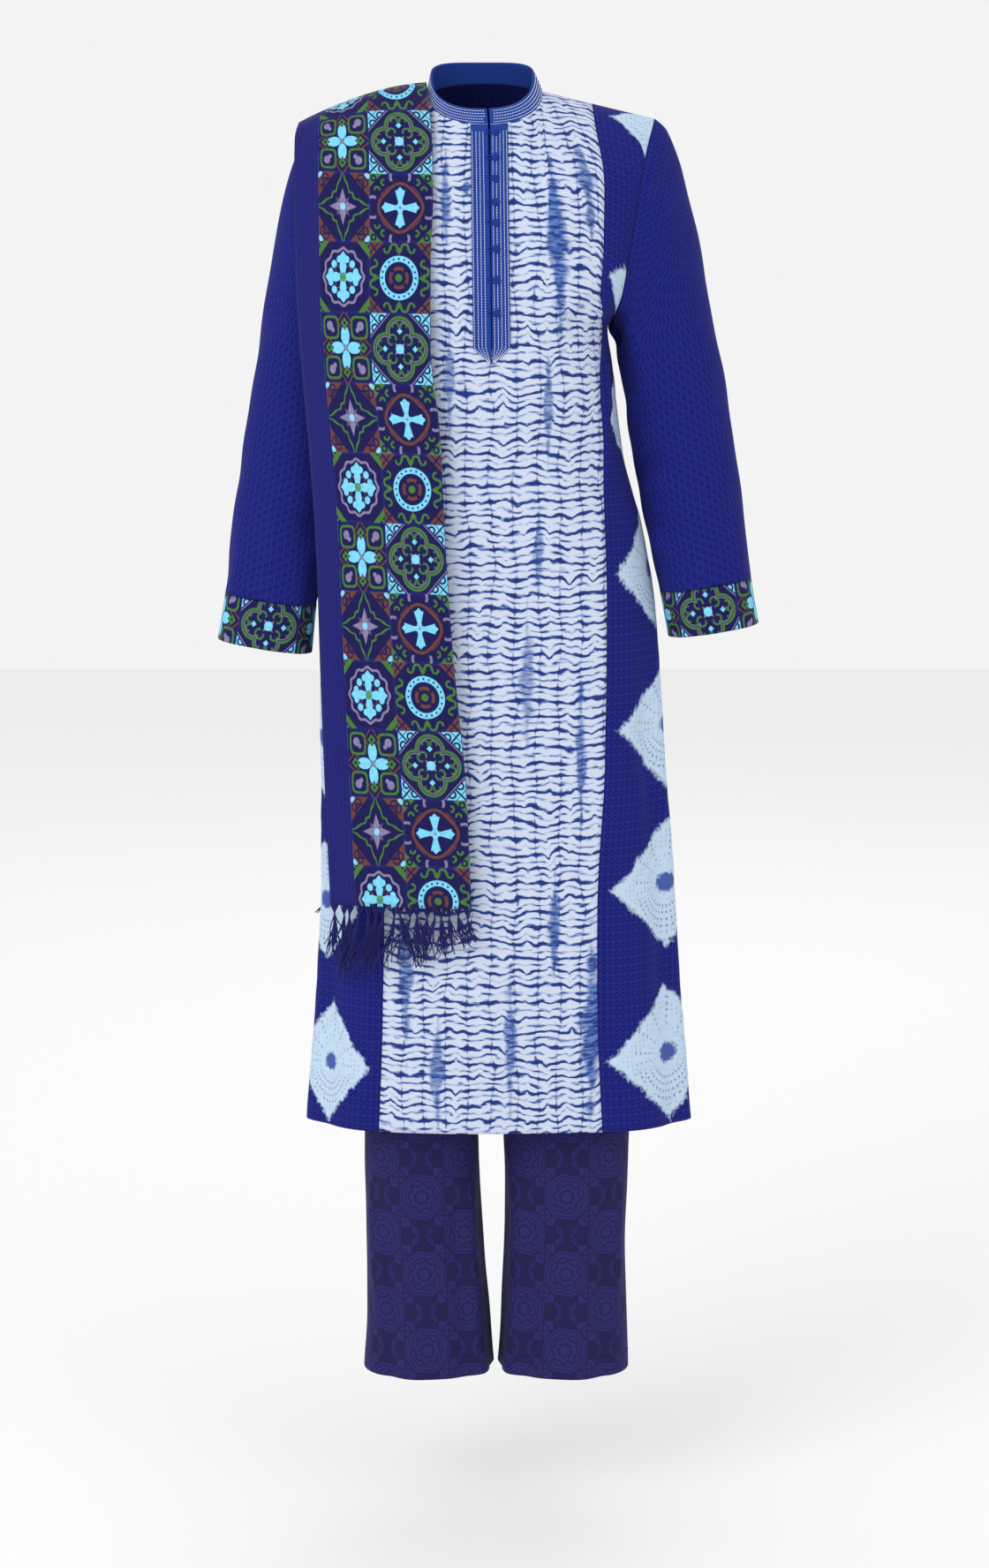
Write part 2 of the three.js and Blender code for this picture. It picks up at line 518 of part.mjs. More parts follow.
function addSleeve(side, hand, table, frontEdge, backEdge) {
  const clear = new THREE.Vector3(hand * ARMHOLE_GAP, 0, 0);
  const start = armholeRing(frontEdge, backEdge).map((point) => point.add(clear));
  const startInset = (inset) =>
    start.map((point, i) => {
      const turn = (2 * Math.PI * i) / RING_CELLS;
      return point.clone().add(new THREE.Vector3(0, Math.sin(turn) * inset, -Math.cos(turn) * inset));
    });
  const cuffTop = table[table.length - 2];
  const cuffHem = table[table.length - 1];
  const sleeveRows = table.slice(0, -1);
  const ringOf = (row, inset) => sleeveRing(hand, row, start, inset);
  const rings = (inset) => [startInset(inset), ...sleeveRows.map((row) => ringOf(row, inset))];
  const turned = (list) => range(RING_CELLS).map((i) => list.map((ring) => ring[i]));
  const sleeve = wallGeometry(turned(rings(0)), turned(rings(WALL)), { ring: true });
  addPiece(`sleeve_${side}`, sleeve, materials.blueCloth);

  const cuffShare = (2 * SEAM) / Math.hypot(cuffHem.outX - cuffTop.outX, cuffHem.outZ - cuffTop.outZ);
  const names = Object.keys(cuffTop);
  const atSeam = (name) => [name, lerp(cuffTop[name], cuffHem[name], cuffShare)];
  const seamRow = Object.fromEntries(names.map(atSeam));
  const cuffRings = (inset) => [seamRow, cuffHem].map((row) => ringOf(row, inset));
  const cuff = wallGeometry(turned(cuffRings(0)), turned(cuffRings(BAND_WALL)), { ring: true });
  addPiece(`cuff_${side}`, cuff, materials.cuffPrint);
}

// ---------------------------------------------------------------- collar, placket, buttons

// The collar stands on the neckline's own points and leans in to a smaller, tilted ring.
function addCollar(frontTop, backTop) {
  const neckCells = NECK_COLUMNS.length + 1;
  const leftFront = range(neckCells + 1).map((k) => frontTop[CENTRE_COLUMNS + 1 + k]);
  const rightFront = range(neckCells + 1).map((k) => frontTop[CENTRE_COLUMNS - k]).reverse();
  const behind = backTop.slice(SIDE_CELLS + 1, BACK_CELLS - SIDE_CELLS).reverse();
  const edge = [...leftFront, ...behind, ...rightFront];
  const { x: centreX, half, front, back, round } = COLLAR_TOP_PLAN;
  const heights = COLLAR_TOP_HEIGHTS;
  const leanOf = (point) => {
    const turn = Math.atan2(point.x - NECK_X, -(point.y - RIDGE_Y / 2));
    const ahead = Math.max(Math.cos(turn), 0) ** (2 / round);
    const behindShare = Math.max(-Math.cos(turn), 0);
    const x = centreX + half * power(Math.sin(turn), Math.cos(turn) > 0 ? 2 / round : 1);
    const y = front * ahead + back * behindShare;
    const rise = (heights.back - heights.side) * Math.sin((behindShare * Math.PI) / 2);
    const z = lerp(heights.side, heights.front, ahead) + rise;
    return new THREE.Vector3(x, y, z);
  };
  const inwards = (point, inset) => {
    const towards = new THREE.Vector3(NECK_X - point.x, -point.y, 0).normalize();
    return point.clone().addScaledVector(towards, inset);
  };
  const columnOf = (point, inset) => {
    const foot = point.clone().add(new THREE.Vector3(0, 0, COLLAR_LIFT));
    return [inwards(foot, inset), inwards(leanOf(point), inset)];
  };
  const [outer, inner] = [0, BAND_WALL].map((inset) => edge.map((point) => columnOf(point, inset)));
  addPiece("collar", wallGeometry(outer, inner), materials.royalTrim);
}

// A placket strip lies on the front centre panel's own cells beside the slit, and ends in half a point.
function placketPoint(hand, column, row, inset) {
  const columnX = (z) => {
    const edge = centreColumnX(hand, column, z);
    const start = centreColumnX(hand, 0, z);
    return row > SLIT_ROWS && column === 1 ? start + hand * 1.2 : edge;
  };
  return panelPoint(-1, columnX, row, inset);
}

function addPlacket(name, hand) {
  const rows = SLIT_ROWS + 2;
  const outerInset = -(SEAM + PLACKET_WALL);
  const columns = hand < 0 ? [1, 0] : [0, 1];
  const columnAt = (column, inset) => range(rows).map((j) => placketTop(hand, column, j, inset));
  const gridAt = (inset) => columns.map((column) => columnAt(column, inset));
  const outer = gridAt(outerInset);
  addPiece(name, wallGeometry(outer, gridAt(-SEAM)), materials.royalTrim);
  return outer;
}

// The strips stop just short of the collar.
function placketTop(hand, column, row, inset) {
  const point = placketPoint(hand, column, row, inset);
  if (row > 0) return point;
  return point.lerp(placketPoint(hand, column, 1, inset), 0.25);
}

// Covered buttons on the strip to the wearer's left, each square to the cell it lies on.
function addButtons(strip) {
  const [slitSide, farSide] = strip;
  const profilePoints = [
    [0, 0],
    [BUTTON_RADIUS * 0.86, 0],
    [BUTTON_RADIUS, BUTTON_HEIGHT * 0.38],
    [BUTTON_RADIUS * 0.72, BUTTON_HEIGHT * 0.85],
    [0, BUTTON_HEIGHT],
  ].map(([radius, height]) => new THREE.Vector2(radius, height));
  BUTTON_HEIGHTS.forEach((height, k) => {
    const row = slitSide.findLastIndex((point) => point.z > height);
    const share = (slitSide[row].z - height) / (slitSide[row].z - slitSide[row + 1].z);
    const near = slitSide[row].clone().lerp(slitSide[row + 1], share);
    const far = farSide[row].clone().lerp(farSide[row + 1], share);
    const down = slitSide[row + 1].clone().sub(slitSide[row]);
    const outwards = far.clone().sub(near).cross(down).normalize();
    if (outwards.y > 0) outwards.negate();
    const place = near.clone().lerp(far, BUTTON_FROM_SLIT / PLACKET_WIDTH);
    const button = addPiece(
      `button_${k + 1}`,
      new THREE.LatheGeometry(profilePoints, 10),
      materials.buttonCloth,
    );
    button.position.copy(place).addScaledVector(outwards, BUTTON_LIFT);
    button.quaternion.setFromUnitVectors(new THREE.Vector3(0, 1, 0), outwards);
  });
}

// ---------------------------------------------------------------- trousers

const hips = profile("z", HIP_ROWS);

// A leg panel runs from the side seam (share 0) to the centre seam above the crotch and the inner leg seam
// below it (share 1). Between the two crotch heights the hip's quarter section turns into half a leg's.
function legPoint(hand, side, leg, share, z, inset) {
  const hip = hips(z);
  const thigh = leg(z);
  const hipTurn = (Math.PI / 2) * share;
  const hipReach = hip.half - inset;
  const hipDepth = (side < 0 ? hip.front : hip.back) - inset;
  const onHip = new THREE.Vector3(
    hip.shift + hand * Math.max(hipReach * power(Math.cos(hipTurn), 2 / BODY_ROUND), SEAM / 2),
    side * hipDepth * power(Math.sin(hipTurn), 2 / BODY_ROUND),
    z,
  );
  const legTurn = Math.PI * share;
  const onLeg = new THREE.Vector3(
    thigh.x + hand * (thigh.half - inset) * power(Math.cos(legTurn), 2 / LEG_ROUND),
    thigh.y + side * (thigh.depth - inset) * power(Math.sin(legTurn), 2 / LEG_ROUND),
    z,
  );
  const divided = smooth(clamp((z - CROTCH_TOP_Z) / (CROTCH_Z - CROTCH_TOP_Z), 0, 1));
  return onHip.lerp(onLeg, divided).add(new THREE.Vector3(0, (side * SEAM) / 2, 0));
}

function addLeg(name, hand, side, leg) {
  const pointAt = (i, j, inset) => legPoint(hand, side, leg, i / LEG_CELLS, TROUSER_ROWS[j], inset);
  const [outer, inner] = grids(LEG_CELLS + 1, TROUSER_ROWS.length, pointAt, TROUSER_WALL);
  addPiece(name, wallGeometry(outer, inner), materials.trouserCloth);
}

function addWaistband() {
  const cells = 4 * LEG_CELLS;
  const heights = [WAIST_Z + WAISTBAND_HEIGHT, WAIST_Z + SEAM];
  const pointAt = (i, j, inset) => {
    const turn = (2 * Math.PI * i) / cells;
    const hip = hips(heights[j]);
    const depth = (Math.sin(turn) < 0 ? hip.front : hip.back) - inset;
    const x = hip.shift + (hip.half - inset) * power(Math.cos(turn), 2 / BODY_ROUND);
    return new THREE.Vector3(x, depth * power(Math.sin(turn), 2 / BODY_ROUND), heights[j]);
  };
  const [outer, inner] = grids(cells, 2, pointAt, BAND_WALL);
  addPiece("waistband", wallGeometry(outer, inner, { ring: true }), materials.trouserCloth);
}

// ---------------------------------------------------------------- dupatta

// A point of a fall's face: across it from the neck's edge (0) to the arm's (1), bowed square to the cloth.
function fallPoint(fall, side, share, step, inset) {
  const at = fall(step);
  const tilt = THREE.MathUtils.degToRad(at.tilt);
  const outwards = new THREE.Vector3(0, side * Math.cos(tilt), Math.sin(tilt));
  const bow = 4 * at.bow * share * (1 - share);
  return new THREE.Vector3(
    lerp(at.neckX, at.armX, share),
    lerp(at.neckY, at.armY, share),
    lerp(at.neckZ, at.armZ, share),
  ).addScaledVector(outwards, bow - inset);
}

const frontFall = profile("step", FRONT_FALL_ROWS);
const backFall = profile("step", BACK_FALL_ROWS);
const SEAM_STEP = 0.012; // about the seam's gap along the path

function addDupatta() {
  const across = DUPATTA_CELLS + 1;
  const hang = (fall, side) => (i, j, inset) => {
    const step = lerp(DUPATTA_SPLIT + SEAM_STEP, DUPATTA_END, j / (DUPATTA_END - DUPATTA_SPLIT));
    return fallPoint(fall, side, i / DUPATTA_CELLS, step, inset);
  };
  const rows = DUPATTA_END - DUPATTA_SPLIT + 1;
  const front = grids(across, rows, hang(frontFall, -1), DUPATTA_WALL);
  const back = grids(across, rows, hang(backFall, 1), DUPATTA_WALL);
  const overShoulder = (i, j, inset) => {
    const step = j - DUPATTA_SPLIT;
    const fall = step < 0 ? frontFall : backFall;
    return fallPoint(fall, Math.sign(step), i / DUPATTA_CELLS, Math.abs(step), inset);
  };
  const shoulder = grids(across, 2 * DUPATTA_SPLIT + 1, overShoulder, DUPATTA_WALL);
  addPiece("dupatta_front", wallGeometry(...front), materials.dupattaCloth);
  addPiece("dupatta_shoulder", wallGeometry(...shoulder), materials.dupattaCloth);
  addPiece("dupatta_back", wallGeometry(...back), materials.dupattaCloth);
}

const fringe = profile("share", FRINGE_ROWS);

function addFringe(name, fall, side) {
  const pointAt = (i, j, inset) => {
    const share = i / DUPATTA_CELLS;
    const point = fallPoint(fall, side, share, DUPATTA_END, inset - (FRINGE_WALL - DUPATTA_WALL) / 2);
    point.z -= j === 0 ? SEAM : fringe(share).length;
    return point;
  };
  const [outer, inner] = grids(DUPATTA_CELLS + 1, 2, pointAt, FRINGE_WALL);
  addPiece(name, wallGeometry(outer, inner), materials.fringeThread);
}

// ---------------------------------------------------------------- the suit

const frontCentre = addFrontCentre();
const sideRight = addFrontSide("kameez_side_right", -1);
const sideLeft = addFrontSide("kameez_side_left", 1);
const back = addBack();
addSleeve("right", -1, RIGHT_ARM_ROWS, sideRight[SIDE_CELLS], back[0]);
addSleeve("left", 1, LEFT_ARM_ROWS, sideLeft[SIDE_CELLS], back[BACK_CELLS]);
addCollar(frontCentre.map((column) => column[0]), back.map((column) => column[0]));
addPlacket("placket_right", -1);
addButtons(addPlacket("placket_left", 1));

const leftLeg = profile("z", LEFT_LEG_ROWS);
const rightLeg = profile("z", RIGHT_LEG_ROWS);
addLeg("trouser_left_front", 1, -1, leftLeg);
addLeg("trouser_left_back", 1, 1, leftLeg);
addLeg("trouser_right_front", -1, -1, rightLeg);
addLeg("trouser_right_back", -1, 1, rightLeg);
addWaistband();

addDupatta();
addFringe("fringe_front", frontFall, -1);
addFringe("fringe_back", backFall, 1);

export default suit;
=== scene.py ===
"""Salwar kameez suit: the looks of every piece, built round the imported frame.

Run as a script. The layout is an add-on's: property groups hold the sizes and colours, each operator makes
one group of pieces, and main() calls them in order. Lengths are millimetres in the suit's own frame (+Z up,
front towards -Y, the wearer's left +X) and become metres when a mesh is written.
"""

import math

import bpy
import numpy as np
from bpy.props import FloatProperty, FloatVectorProperty, IntProperty, PointerProperty
from bpy.types import Operator, Panel, PropertyGroup
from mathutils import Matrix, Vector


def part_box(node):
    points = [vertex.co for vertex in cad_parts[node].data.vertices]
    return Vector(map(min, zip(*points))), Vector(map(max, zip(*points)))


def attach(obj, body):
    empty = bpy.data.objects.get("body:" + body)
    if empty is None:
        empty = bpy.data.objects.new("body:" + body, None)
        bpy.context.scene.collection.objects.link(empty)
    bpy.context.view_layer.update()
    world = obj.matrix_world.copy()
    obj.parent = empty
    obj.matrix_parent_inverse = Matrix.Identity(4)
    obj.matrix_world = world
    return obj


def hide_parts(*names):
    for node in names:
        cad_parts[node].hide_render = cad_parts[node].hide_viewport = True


bl_info = {
    "name": "Salwar kameez suit",
    "version": (1, 0, 0),
    "blender": (4, 5, 0),
    "location": "View3D > Sidebar > Suit",
    "description": "Builds a worn salwar kameez suit with its printed, tie-dyed and stitched cloth",
    "category": "Object",
}

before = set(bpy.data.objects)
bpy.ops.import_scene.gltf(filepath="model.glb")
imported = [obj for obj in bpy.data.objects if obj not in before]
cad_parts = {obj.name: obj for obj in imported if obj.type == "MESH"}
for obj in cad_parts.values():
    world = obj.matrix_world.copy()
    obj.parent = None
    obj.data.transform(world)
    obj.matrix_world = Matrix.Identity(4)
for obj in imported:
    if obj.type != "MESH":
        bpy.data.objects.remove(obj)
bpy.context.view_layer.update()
BODY = "root"
MM = 0.001

# ---------------------------------------------------------------- form, as in the part's source

SEAM = 0.3
ARMHOLE_GAP = 0.6
NECK_X = -3.0
NECK_HALF = 61.0
NECK_DROP = 34.0
NECK_ROUND = 2.3
NECK_BACK_REACH = 0.58
NECK_ROOT_RISE = 23.0
SHOULDER_SLOPE = 0.24
RIDGE_Y = 8.0
FRONT_ROUND = 90.0
BACK_ROUND = 80.0
BODY_ROUND = 2.6
ARMPIT_Z = -250.0
HEM_Z = -1113.0
PLACKET_WIDTH = 19.5
PLACKET_LIFT = 1.9  # its outer face over the panel
PLACKET_END_Z = -265.0
PLACKET_POINT_Z = -282.0
SLIT_TOP_X = 1.4
SLIT_END_X = 4.2
SLIT_OPEN_HALF = 1.2
SLIT_SHUT_HALF = 0.5
SLIT_SHUT_Z = -110.0
SHOULDER_HALF = 177.0
BACK_SHOULDER_SHARES = (0.47, 0.65, 0.82, 1)
BACK_NECK_SHARES = (-1, -0.8, -0.55, -0.27, 0, 0.27, 0.55, 0.8, 1)
BACK_COLUMNS = 16
COLLAR_X = -6.0
COLLAR_HALF = 54.4
COLLAR_FRONT_Y = -46.0
COLLAR_BACK_Y = 43.0
COLLAR_ROUND = 2.5
COLLAR_FRONT_Z = -18.0
COLLAR_SIDE_Z = 20.5
COLLAR_BACK_Z = 31.0
COLLAR_LIFT = 0.1
CROTCH_TOP_Z = -560.0
CROTCH_Z = -692.0
WAIST_Z = -410.0
WAISTBAND_HEIGHT = 27.0
LEG_ROUND = 2.3
TROUSER_HEM_Z = -1400.0
DUPATTA_SPLIT = 4.0
DUPATTA_END = 12.0
DUPATTA_ACROSS = 148.0  # folded, measured across
BUTTON_COUNT = 8


def profile(key, columns, rows):
    """A table as a function of its key column.

    Between two rows a value is start + rise t + t (1 - t) (start bend (1 - t) + end bend t), a cubic whose
    slope at a row is the harmonic mean of the rises beside it, so it never overshoots.
    """
    names = columns.split()
    data = np.array(rows, float)
    data = data[np.argsort(data[:, names.index(key)])]
    keys = data[:, names.index(key)]
    widths = np.diff(keys)
    rises = np.diff(data, axis=0)
    slopes = rises / widths[:, None]
    before = np.vstack([slopes[:1], slopes])
    after = np.vstack([slopes, slopes[-1:]])
    alike = before * after > 0
    mean = np.where(alike, 2 * before * after / np.where(alike, before + after, 1), 0)

    def at(place):
        place = np.clip(np.asarray(place, float), keys[0], keys[-1])
        i = np.clip(np.searchsorted(keys, place, "right") - 1, 0, len(widths) - 1)
        t = ((place - keys[i]) / widths[i])[..., None]
        width = widths[i][..., None]
        start_bend = mean[i] * width - rises[i]
        end_bend = rises[i] - mean[i + 1] * width
        values = data[i] + rises[i] * t + t * (1 - t) * (start_bend * (1 - t) + end_bend * t)
        return {name: values[..., c] for c, name in enumerate(names)}

    return at


body = profile("z", "z shift half front back seam_right seam_left", [
    (10, 0, 192, 58, 82, 108, 108),
    (-34, 0, 188, 70, 92, 113, 113),
    (-100, 0, 177, 97, 105, 122, 122),
    (-167, 0, 166, 113, 108, 122, 121),
    (-215, 0, 152, 118, 107, 120, 118),
    (ARMPIT_Z, 0, 128, 118, 106, 120, 121),
    (-300, 0, 135, 115, 103, 118, 118),
    (-390, 0, 146, 110, 101, 120, 122),
    (-463, 0, 166, 108, 106, 122, 124),
    (-555, 1, 181, 108, 117, 122, 126.5),
    (-694, 5, 184, 106, 122, 119, 125),
    (-870, 11, 191, 102, 119, 111, 117),
    (-985, 11.5, 198, 100, 116, 113, 118),
    (HEM_Z, 12, 208, 98, 114, 118, 124),
])
armhole = profile("z", "z x", [
    (0, 182), (-28, 177), (-56, 169), (-87, 162), (-131, 155), (-167, 149), (-210, 142), (-235, 134),
    (ARMPIT_Z, 128),
])
ARM_COLUMNS = "step out_x out_z in_x in_z y depth oval"
ARM_STEPS = 9.0  # sleeve rings, then one more for the cuff's hem
LEFT_ARM_ROWS = [
    (1, 189, -38, 130, -253, 3, 66, 0.12),
    (2, 203, -70, 132, -257, 2, 64, 0.35),
    (3, 214, -110, 135, -264, 1, 61, 0.65),
    (4, 227, -167, 139, -279, 0, 57, 1),
    (5, 240, -237, 144, -308, 1, 53, 1),
    (6, 254, -305, 150, -348, 2, 50, 1),
    (7, 266, -378, 158, -402, -1, 48, 1),
    (8, 276, -450, 171, -466, -10, 47, 1),
    (9, 283, -515, 185, -530, -21, 46, 1),
    (10, 291, -563, 194, -578, -29, 46, 1),
]
RIGHT_ARM_ROWS = [
    (1, 189, -38, 130, -253, 3, 66, 0.12),
    (2, 205, -70, 132, -257, 2, 64, 0.35),
    (3, 218, -110, 135, -264, 1, 61, 0.65),
    (4, 230, -167, 139, -279, 0, 57, 1),
    (5, 241, -237, 144, -308, 1, 53, 1),
    (6, 252, -305, 150, -348, 2, 50, 1),
    (7, 264, -383, 158, -407, -1, 48, 1),
    (8, 275, -458, 171, -474, -10, 47, 1),
    (9, 283, -531, 184, -545, -21, 46, 1),
    (10, 291, -580, 189, -596, -29, 46, 1),
]
hips = profile("z", "z shift half front back", [
    (-380, 0, 117, 87, 83), (WAIST_Z, 0, 119, 88, 85), (-500, 1, 142, 95, 99), (-610, 3, 161, 97, 108),
    (CROTCH_Z, 5, 165, 90, 104),
])
left_leg = profile("z", "z x y half depth", [
    (CROTCH_TOP_Z, 88, 6, 81, 96), (CROTCH_Z, 88, 6, 81, 94), (-800, 87, 3, 77, 80), (-950, 86.5, -1, 73, 69),
    (-1145, 86.5, 0, 69.5, 62), (-1242, 86, 0, 66.5, 60), (-1340, 85, 0, 69.5, 61), (-1400, 84, 0, 72, 62),
])
right_leg = profile("z", "z x y half depth", [
    (CROTCH_TOP_Z, -78, 6, 81, 96), (CROTCH_Z, -78, 6, 81, 94), (-800, -77, 3, 76, 80),
    (-950, -75, -1, 70, 69), (-1145, -73.5, 0, 63, 62), (-1242, -71.5, 0, 64, 60),
    (-1340, -67.5, 0, 67.5, 61), (-1400, -66.5, 0, 71.5, 62),
])
FALL_COLUMNS = "step neck_x neck_y neck_z arm_x arm_y arm_z bow tilt"
front_fall = profile("step", FALL_COLUMNS, [
    (0, -66, 8, 10, -201, 6, -32, 7, 90),
    (1, -65, -20, 5, -202, -14, -37, 8, 70),
    (2, -63, -44, -11, -204, -30, -50, 9, 50),
    (3, -60, -68, -35, -204, -45, -76, 10, 34),
    (4, -58, -90, -68, -204, -56, -112, 11, 22),
    (5, -57.5, -109, -115, -203, -63, -160, 12, 10),
    (6, -60, -123, -185, -201.5, -68, -220, 12, 2),
    (7, -60, -128, -262, -196, -70, -297, 11, 0),
    (8, -50, -128, -360, -188, -72, -392, 9, 0),
    (9, -45, -127, -470, -182, -77, -492, 7, 0),
    (10, -36, -125, -600, -178.5, -84, -612, 5, 0),
    (11, -23, -122, -740, -174, -90, -745, 4, 0),
    (12, -18, -120, -861, -169, -94, -861, 3, 0),
])
back_fall = profile("step", FALL_COLUMNS, [
    (0, -66, 8, 10, -201, 6, -32, 7, 90),
    (1, -65, 38, 3, -202, 26, -38, 8, 70),
    (2, -64, 68, -14, -204, 44, -54, 9, 50),
    (3, -63, 94, -42, -205, 58, -82, 10, 32),
    (4, -62, 109, -80, -205, 66, -120, 11, 18),
    (5, -62, 116, -130, -204, 71, -170, 11, 8),
    (6, -62, 120, -200, -202, 74, -232, 11, 2),
    (7, -58, 122, -280, -197, 77, -308, 10, 0),
    (8, -54, 124, -380, -191, 81, -404, 9, 0),
    (9, -48, 129, -490, -184, 88, -508, 8, 0),
    (10, -40, 134, -610, -179, 95, -620, 7, 0),
    (11, -31, 135, -740, -175, 100, -745, 5, 0),
    (12, -24, 134, -861, -171, 102, -861, 4, 0),
])
fringe_reach = profile("share", "share length", [
    (0, 34), (0.3, 58), (0.55, 62), (0.8, 84), (0.93, 78), (1, 48),
])

# ---------------------------------------------------------------- creases, listed one by one

# Each fold is a soft ridge (or, with a negative height, a trough) along a straight or bowed line between two
# places of the cloth: across it and down it. A fold that is open keeps its height to its lower end.
# Columns: start across, start down, end across, end down, bow, width, height, open.
BODY_TURN = 2.6  # millimetres of cloth for each degree round the body, from the front's middle
BODY_FOLDS = [
    # pucker at the front panel's seams over the bust, and drag lines from it
    (112, -196, 70, -226, 3, 8, 1.5, 0),
    (114, -200, 82, -176, -2, 7, -1.3, 0),
    (112, -204, 96, -262, 4, 8, -1.6, 0),
    (116, -192, 150, -168, 0, 9, 1.4, 0),
    (118, -206, 152, -236, 3, 10, 1.8, 0),
    (-112, -198, -72, -224, 3, 8, 1.4, 0),
    (-113, -204, -92, -262, -4, 8, -1.5, 0),
    (-118, -200, -150, -232, 2, 10, 1.6, 0),
    # from the armpits down to the waist
    (186, -262, 140, -420, 8, 13, 2.0, 0),
    (204, -270, 190, -400, -5, 11, -1.8, 0),
    (-188, -262, -146, -410, -8, 13, 1.8, 0),
    (-206, -272, -186, -420, 5, 12, -1.8, 0),
    (262, -262, 300, -420, 6, 14, 2.2, 0),
    (-262, -262, -306, -430, -6, 14, 2.2, 0),
    # across the waist in front and behind
    (40, -402, 122, -436, -6, 12, 1.1, 0),
    (-20, -388, 60, -372, 5, 13, -0.9, 0),
    (300, -396, 400, -430, 7, 15, 2.2, 0),
    (330, -360, 440, -382, -6, 13, -1.8, 0),
    (-320, -410, -430, -440, -7, 15, 2.0, 0),
    # the skirt's flare
    (92, -640, 104, HEM_Z, 6, 24, 1.8, 1),
    (150, -520, 168, HEM_Z, -6, 22, -3.0, 1),
    (196, -470, 206, HEM_Z, 5, 19, 3.6, 1),
    (30, -820, 26, HEM_Z, 0, 26, -1.4, 1),
    (-96, -700, -104, HEM_Z, -5, 24, 1.6, 1),
    (-150, -540, -166, HEM_Z, 6, 22, -2.8, 1),
    (-198, -480, -210, HEM_Z, -5, 19, 3.4, 1),
    (250, -480, 262, HEM_Z, -6, 20, -3.6, 1),
    (292, -560, 306, HEM_Z, 4, 20, 4.6, 1),
    (338, -700, 344, HEM_Z, 5, 20, -4.0, 1),
    (384, -600, 392, HEM_Z, -6, 22, 4.4, 1),
    (430, -760, 436, HEM_Z, 3, 20, -3.4, 1),
    (468, -620, 470, HEM_Z, 4, 22, 3.2, 1),
    (-246, -500, -258, HEM_Z, 6, 20, -3.4, 1),
    (-290, -580, -300, HEM_Z, -4, 20, 4.2, 1),
    (-336, -680, -346, HEM_Z, -5, 21, -4.2, 1),
    (-386, -640, -396, HEM_Z, 5, 22, 4.4, 1),
    (-428, -720, -432, HEM_Z, -3, 19, -3.2, 1),
    # between the shoulder blades and below the back neck
    (330, -110, 372, -300, 6, 18, 2.0, 0),
    (-326, -120, -370, -300, -6, 18, 1.8, 0),
    (420, -60, 500, -64, 5, 10, -1.2, 0),
]
SLEEVE_RADIUS = 50.0  # round the arm, the cloth is this far from the middle
SLEEVE_FOLDS = [
    # from the armhole down the front and the back
    (112, 8, 104, 190, 5, 13, 2.6, 0),
    (84, 14, 88, 150, -4, 11, -1.8, 0),
    (52, 4, 60, 130, 4, 14, 1.5, 0),
    (212, 10, 222, 200, -5, 14, 3.0, 0),
    (244, 20, 240, 170, 4, 12, -2.0, 0),
    (136, 20, 128, 120, 0, 9, -1.8, 0),
    # at the bend of the elbow, short and across
    (152, 262, 96, 238, 5, 8, -2.0, 0),
    (154, 284, 88, 276, -3, 8, 2.2, 0),
    (152, 306, 84, 322, 4, 9, -2.0, 0),
    (150, 326, 108, 356, 3, 8, 1.6, 0),
    (176, 290, 220, 272, 3, 9, 1.6, 0),
    (174, 312, 214, 330, -3, 9, -1.6, 0),
    # down the forearm
    (110, 336, 112, 500, 5, 12, 2.2, 1),
    (66, 350, 74, 520, -5, 13, -1.9, 1),
    (30, 300, 34, 520, 3, 14, 1.6, 1),
    (200, 340, 196, 520, 4, 13, 2.2, 1),
    (246, 330, 240, 520, -4, 13, -2.2, 1),
    (290, 260, 284, 470, 0, 14, 1.8, 0),
]
LEG_RADIUS = 70.0
LEG_FOLDS = [
    (36, -1165, 50, -1345, 4, 8, 2.4, 0),
    (62, -1190, 70, -1400, -4, 11, -1.8, 1),
    (104, -1150, 98, -1400, 5, 16, 1.9, 1),
    (146, -1180, 150, -1400, -3, 13, -1.8, 1),
    (180, -1130, 176, -1400, 4, 12, 2.2, 1),
    (84, -1250, 130, -1290, 4, 10, 0.9, 0),
    (56, -1312, 96, -1340, -3, 9, -0.8, 0),
    (-40, -1140, -48, -1400, 4, 13, 2.6, 1),
    (-84, -1120, -80, -1400, -4, 14, -2.4, 1),
    (-124, -1140, -130, -1400, 4, 14, 2.8, 1),
    (-166, -1160, -160, -1400, 0, 12, -2.2, 1),
    (-200, -1130, -204, -1400, 0, 12, 1.8, 1),
    (206, -1150, 210, -1400, 0, 10, -1.6, 1),
    (60, -720, 70, -1100, 5, 20, 2.0, 0),
    (140, -700, 120, -1050, -5, 20, -2.0, 0),
    (-70, -700, -80, -1100, -5, 20, 2.6, 0),
    (-140, -720, -120, -1080, 5, 20, -2.4, 0),
]
DUPATTA_FOLDS = [
    # across the dupatta from its neck edge, and along it from its front end
    (30, 20, 26, 520, 4, 16, 0.9, 0),
    (118, 0, 122, 460, -5, 9, -1.5, 0),
    (133, -20, 138, 600, 3, 8, 1.8, 0),
    (78, 180, 72, 700, 6, 18, -0.9, 0),
    (104, 520, 120, 820, -5, 12, 1.2, 0),
    (20, 640, 60, 860, 6, 12, -1.0, 0),
    (84, 730, 140, 850, 5, 10, 1.3, 0),
    (52, 1150, 58, 1800, 5, 16, 1.6, 0),
    (96, 1080, 100, 1800, -5, 14, -1.8, 0),
    (128, 1120, 126, 1800, 4, 10, 1.8, 0),
]

# ---------------------------------------------------------------- sums with whole grids


def lerp(start, end, share):
    return start + (end - start) * share


def smooth(share):
    share = np.clip(share, 0, 1)
    return share * share * (3 - 2 * share)


def signed_power(value, exponent):
    return np.sign(value) * np.abs(value) ** exponent


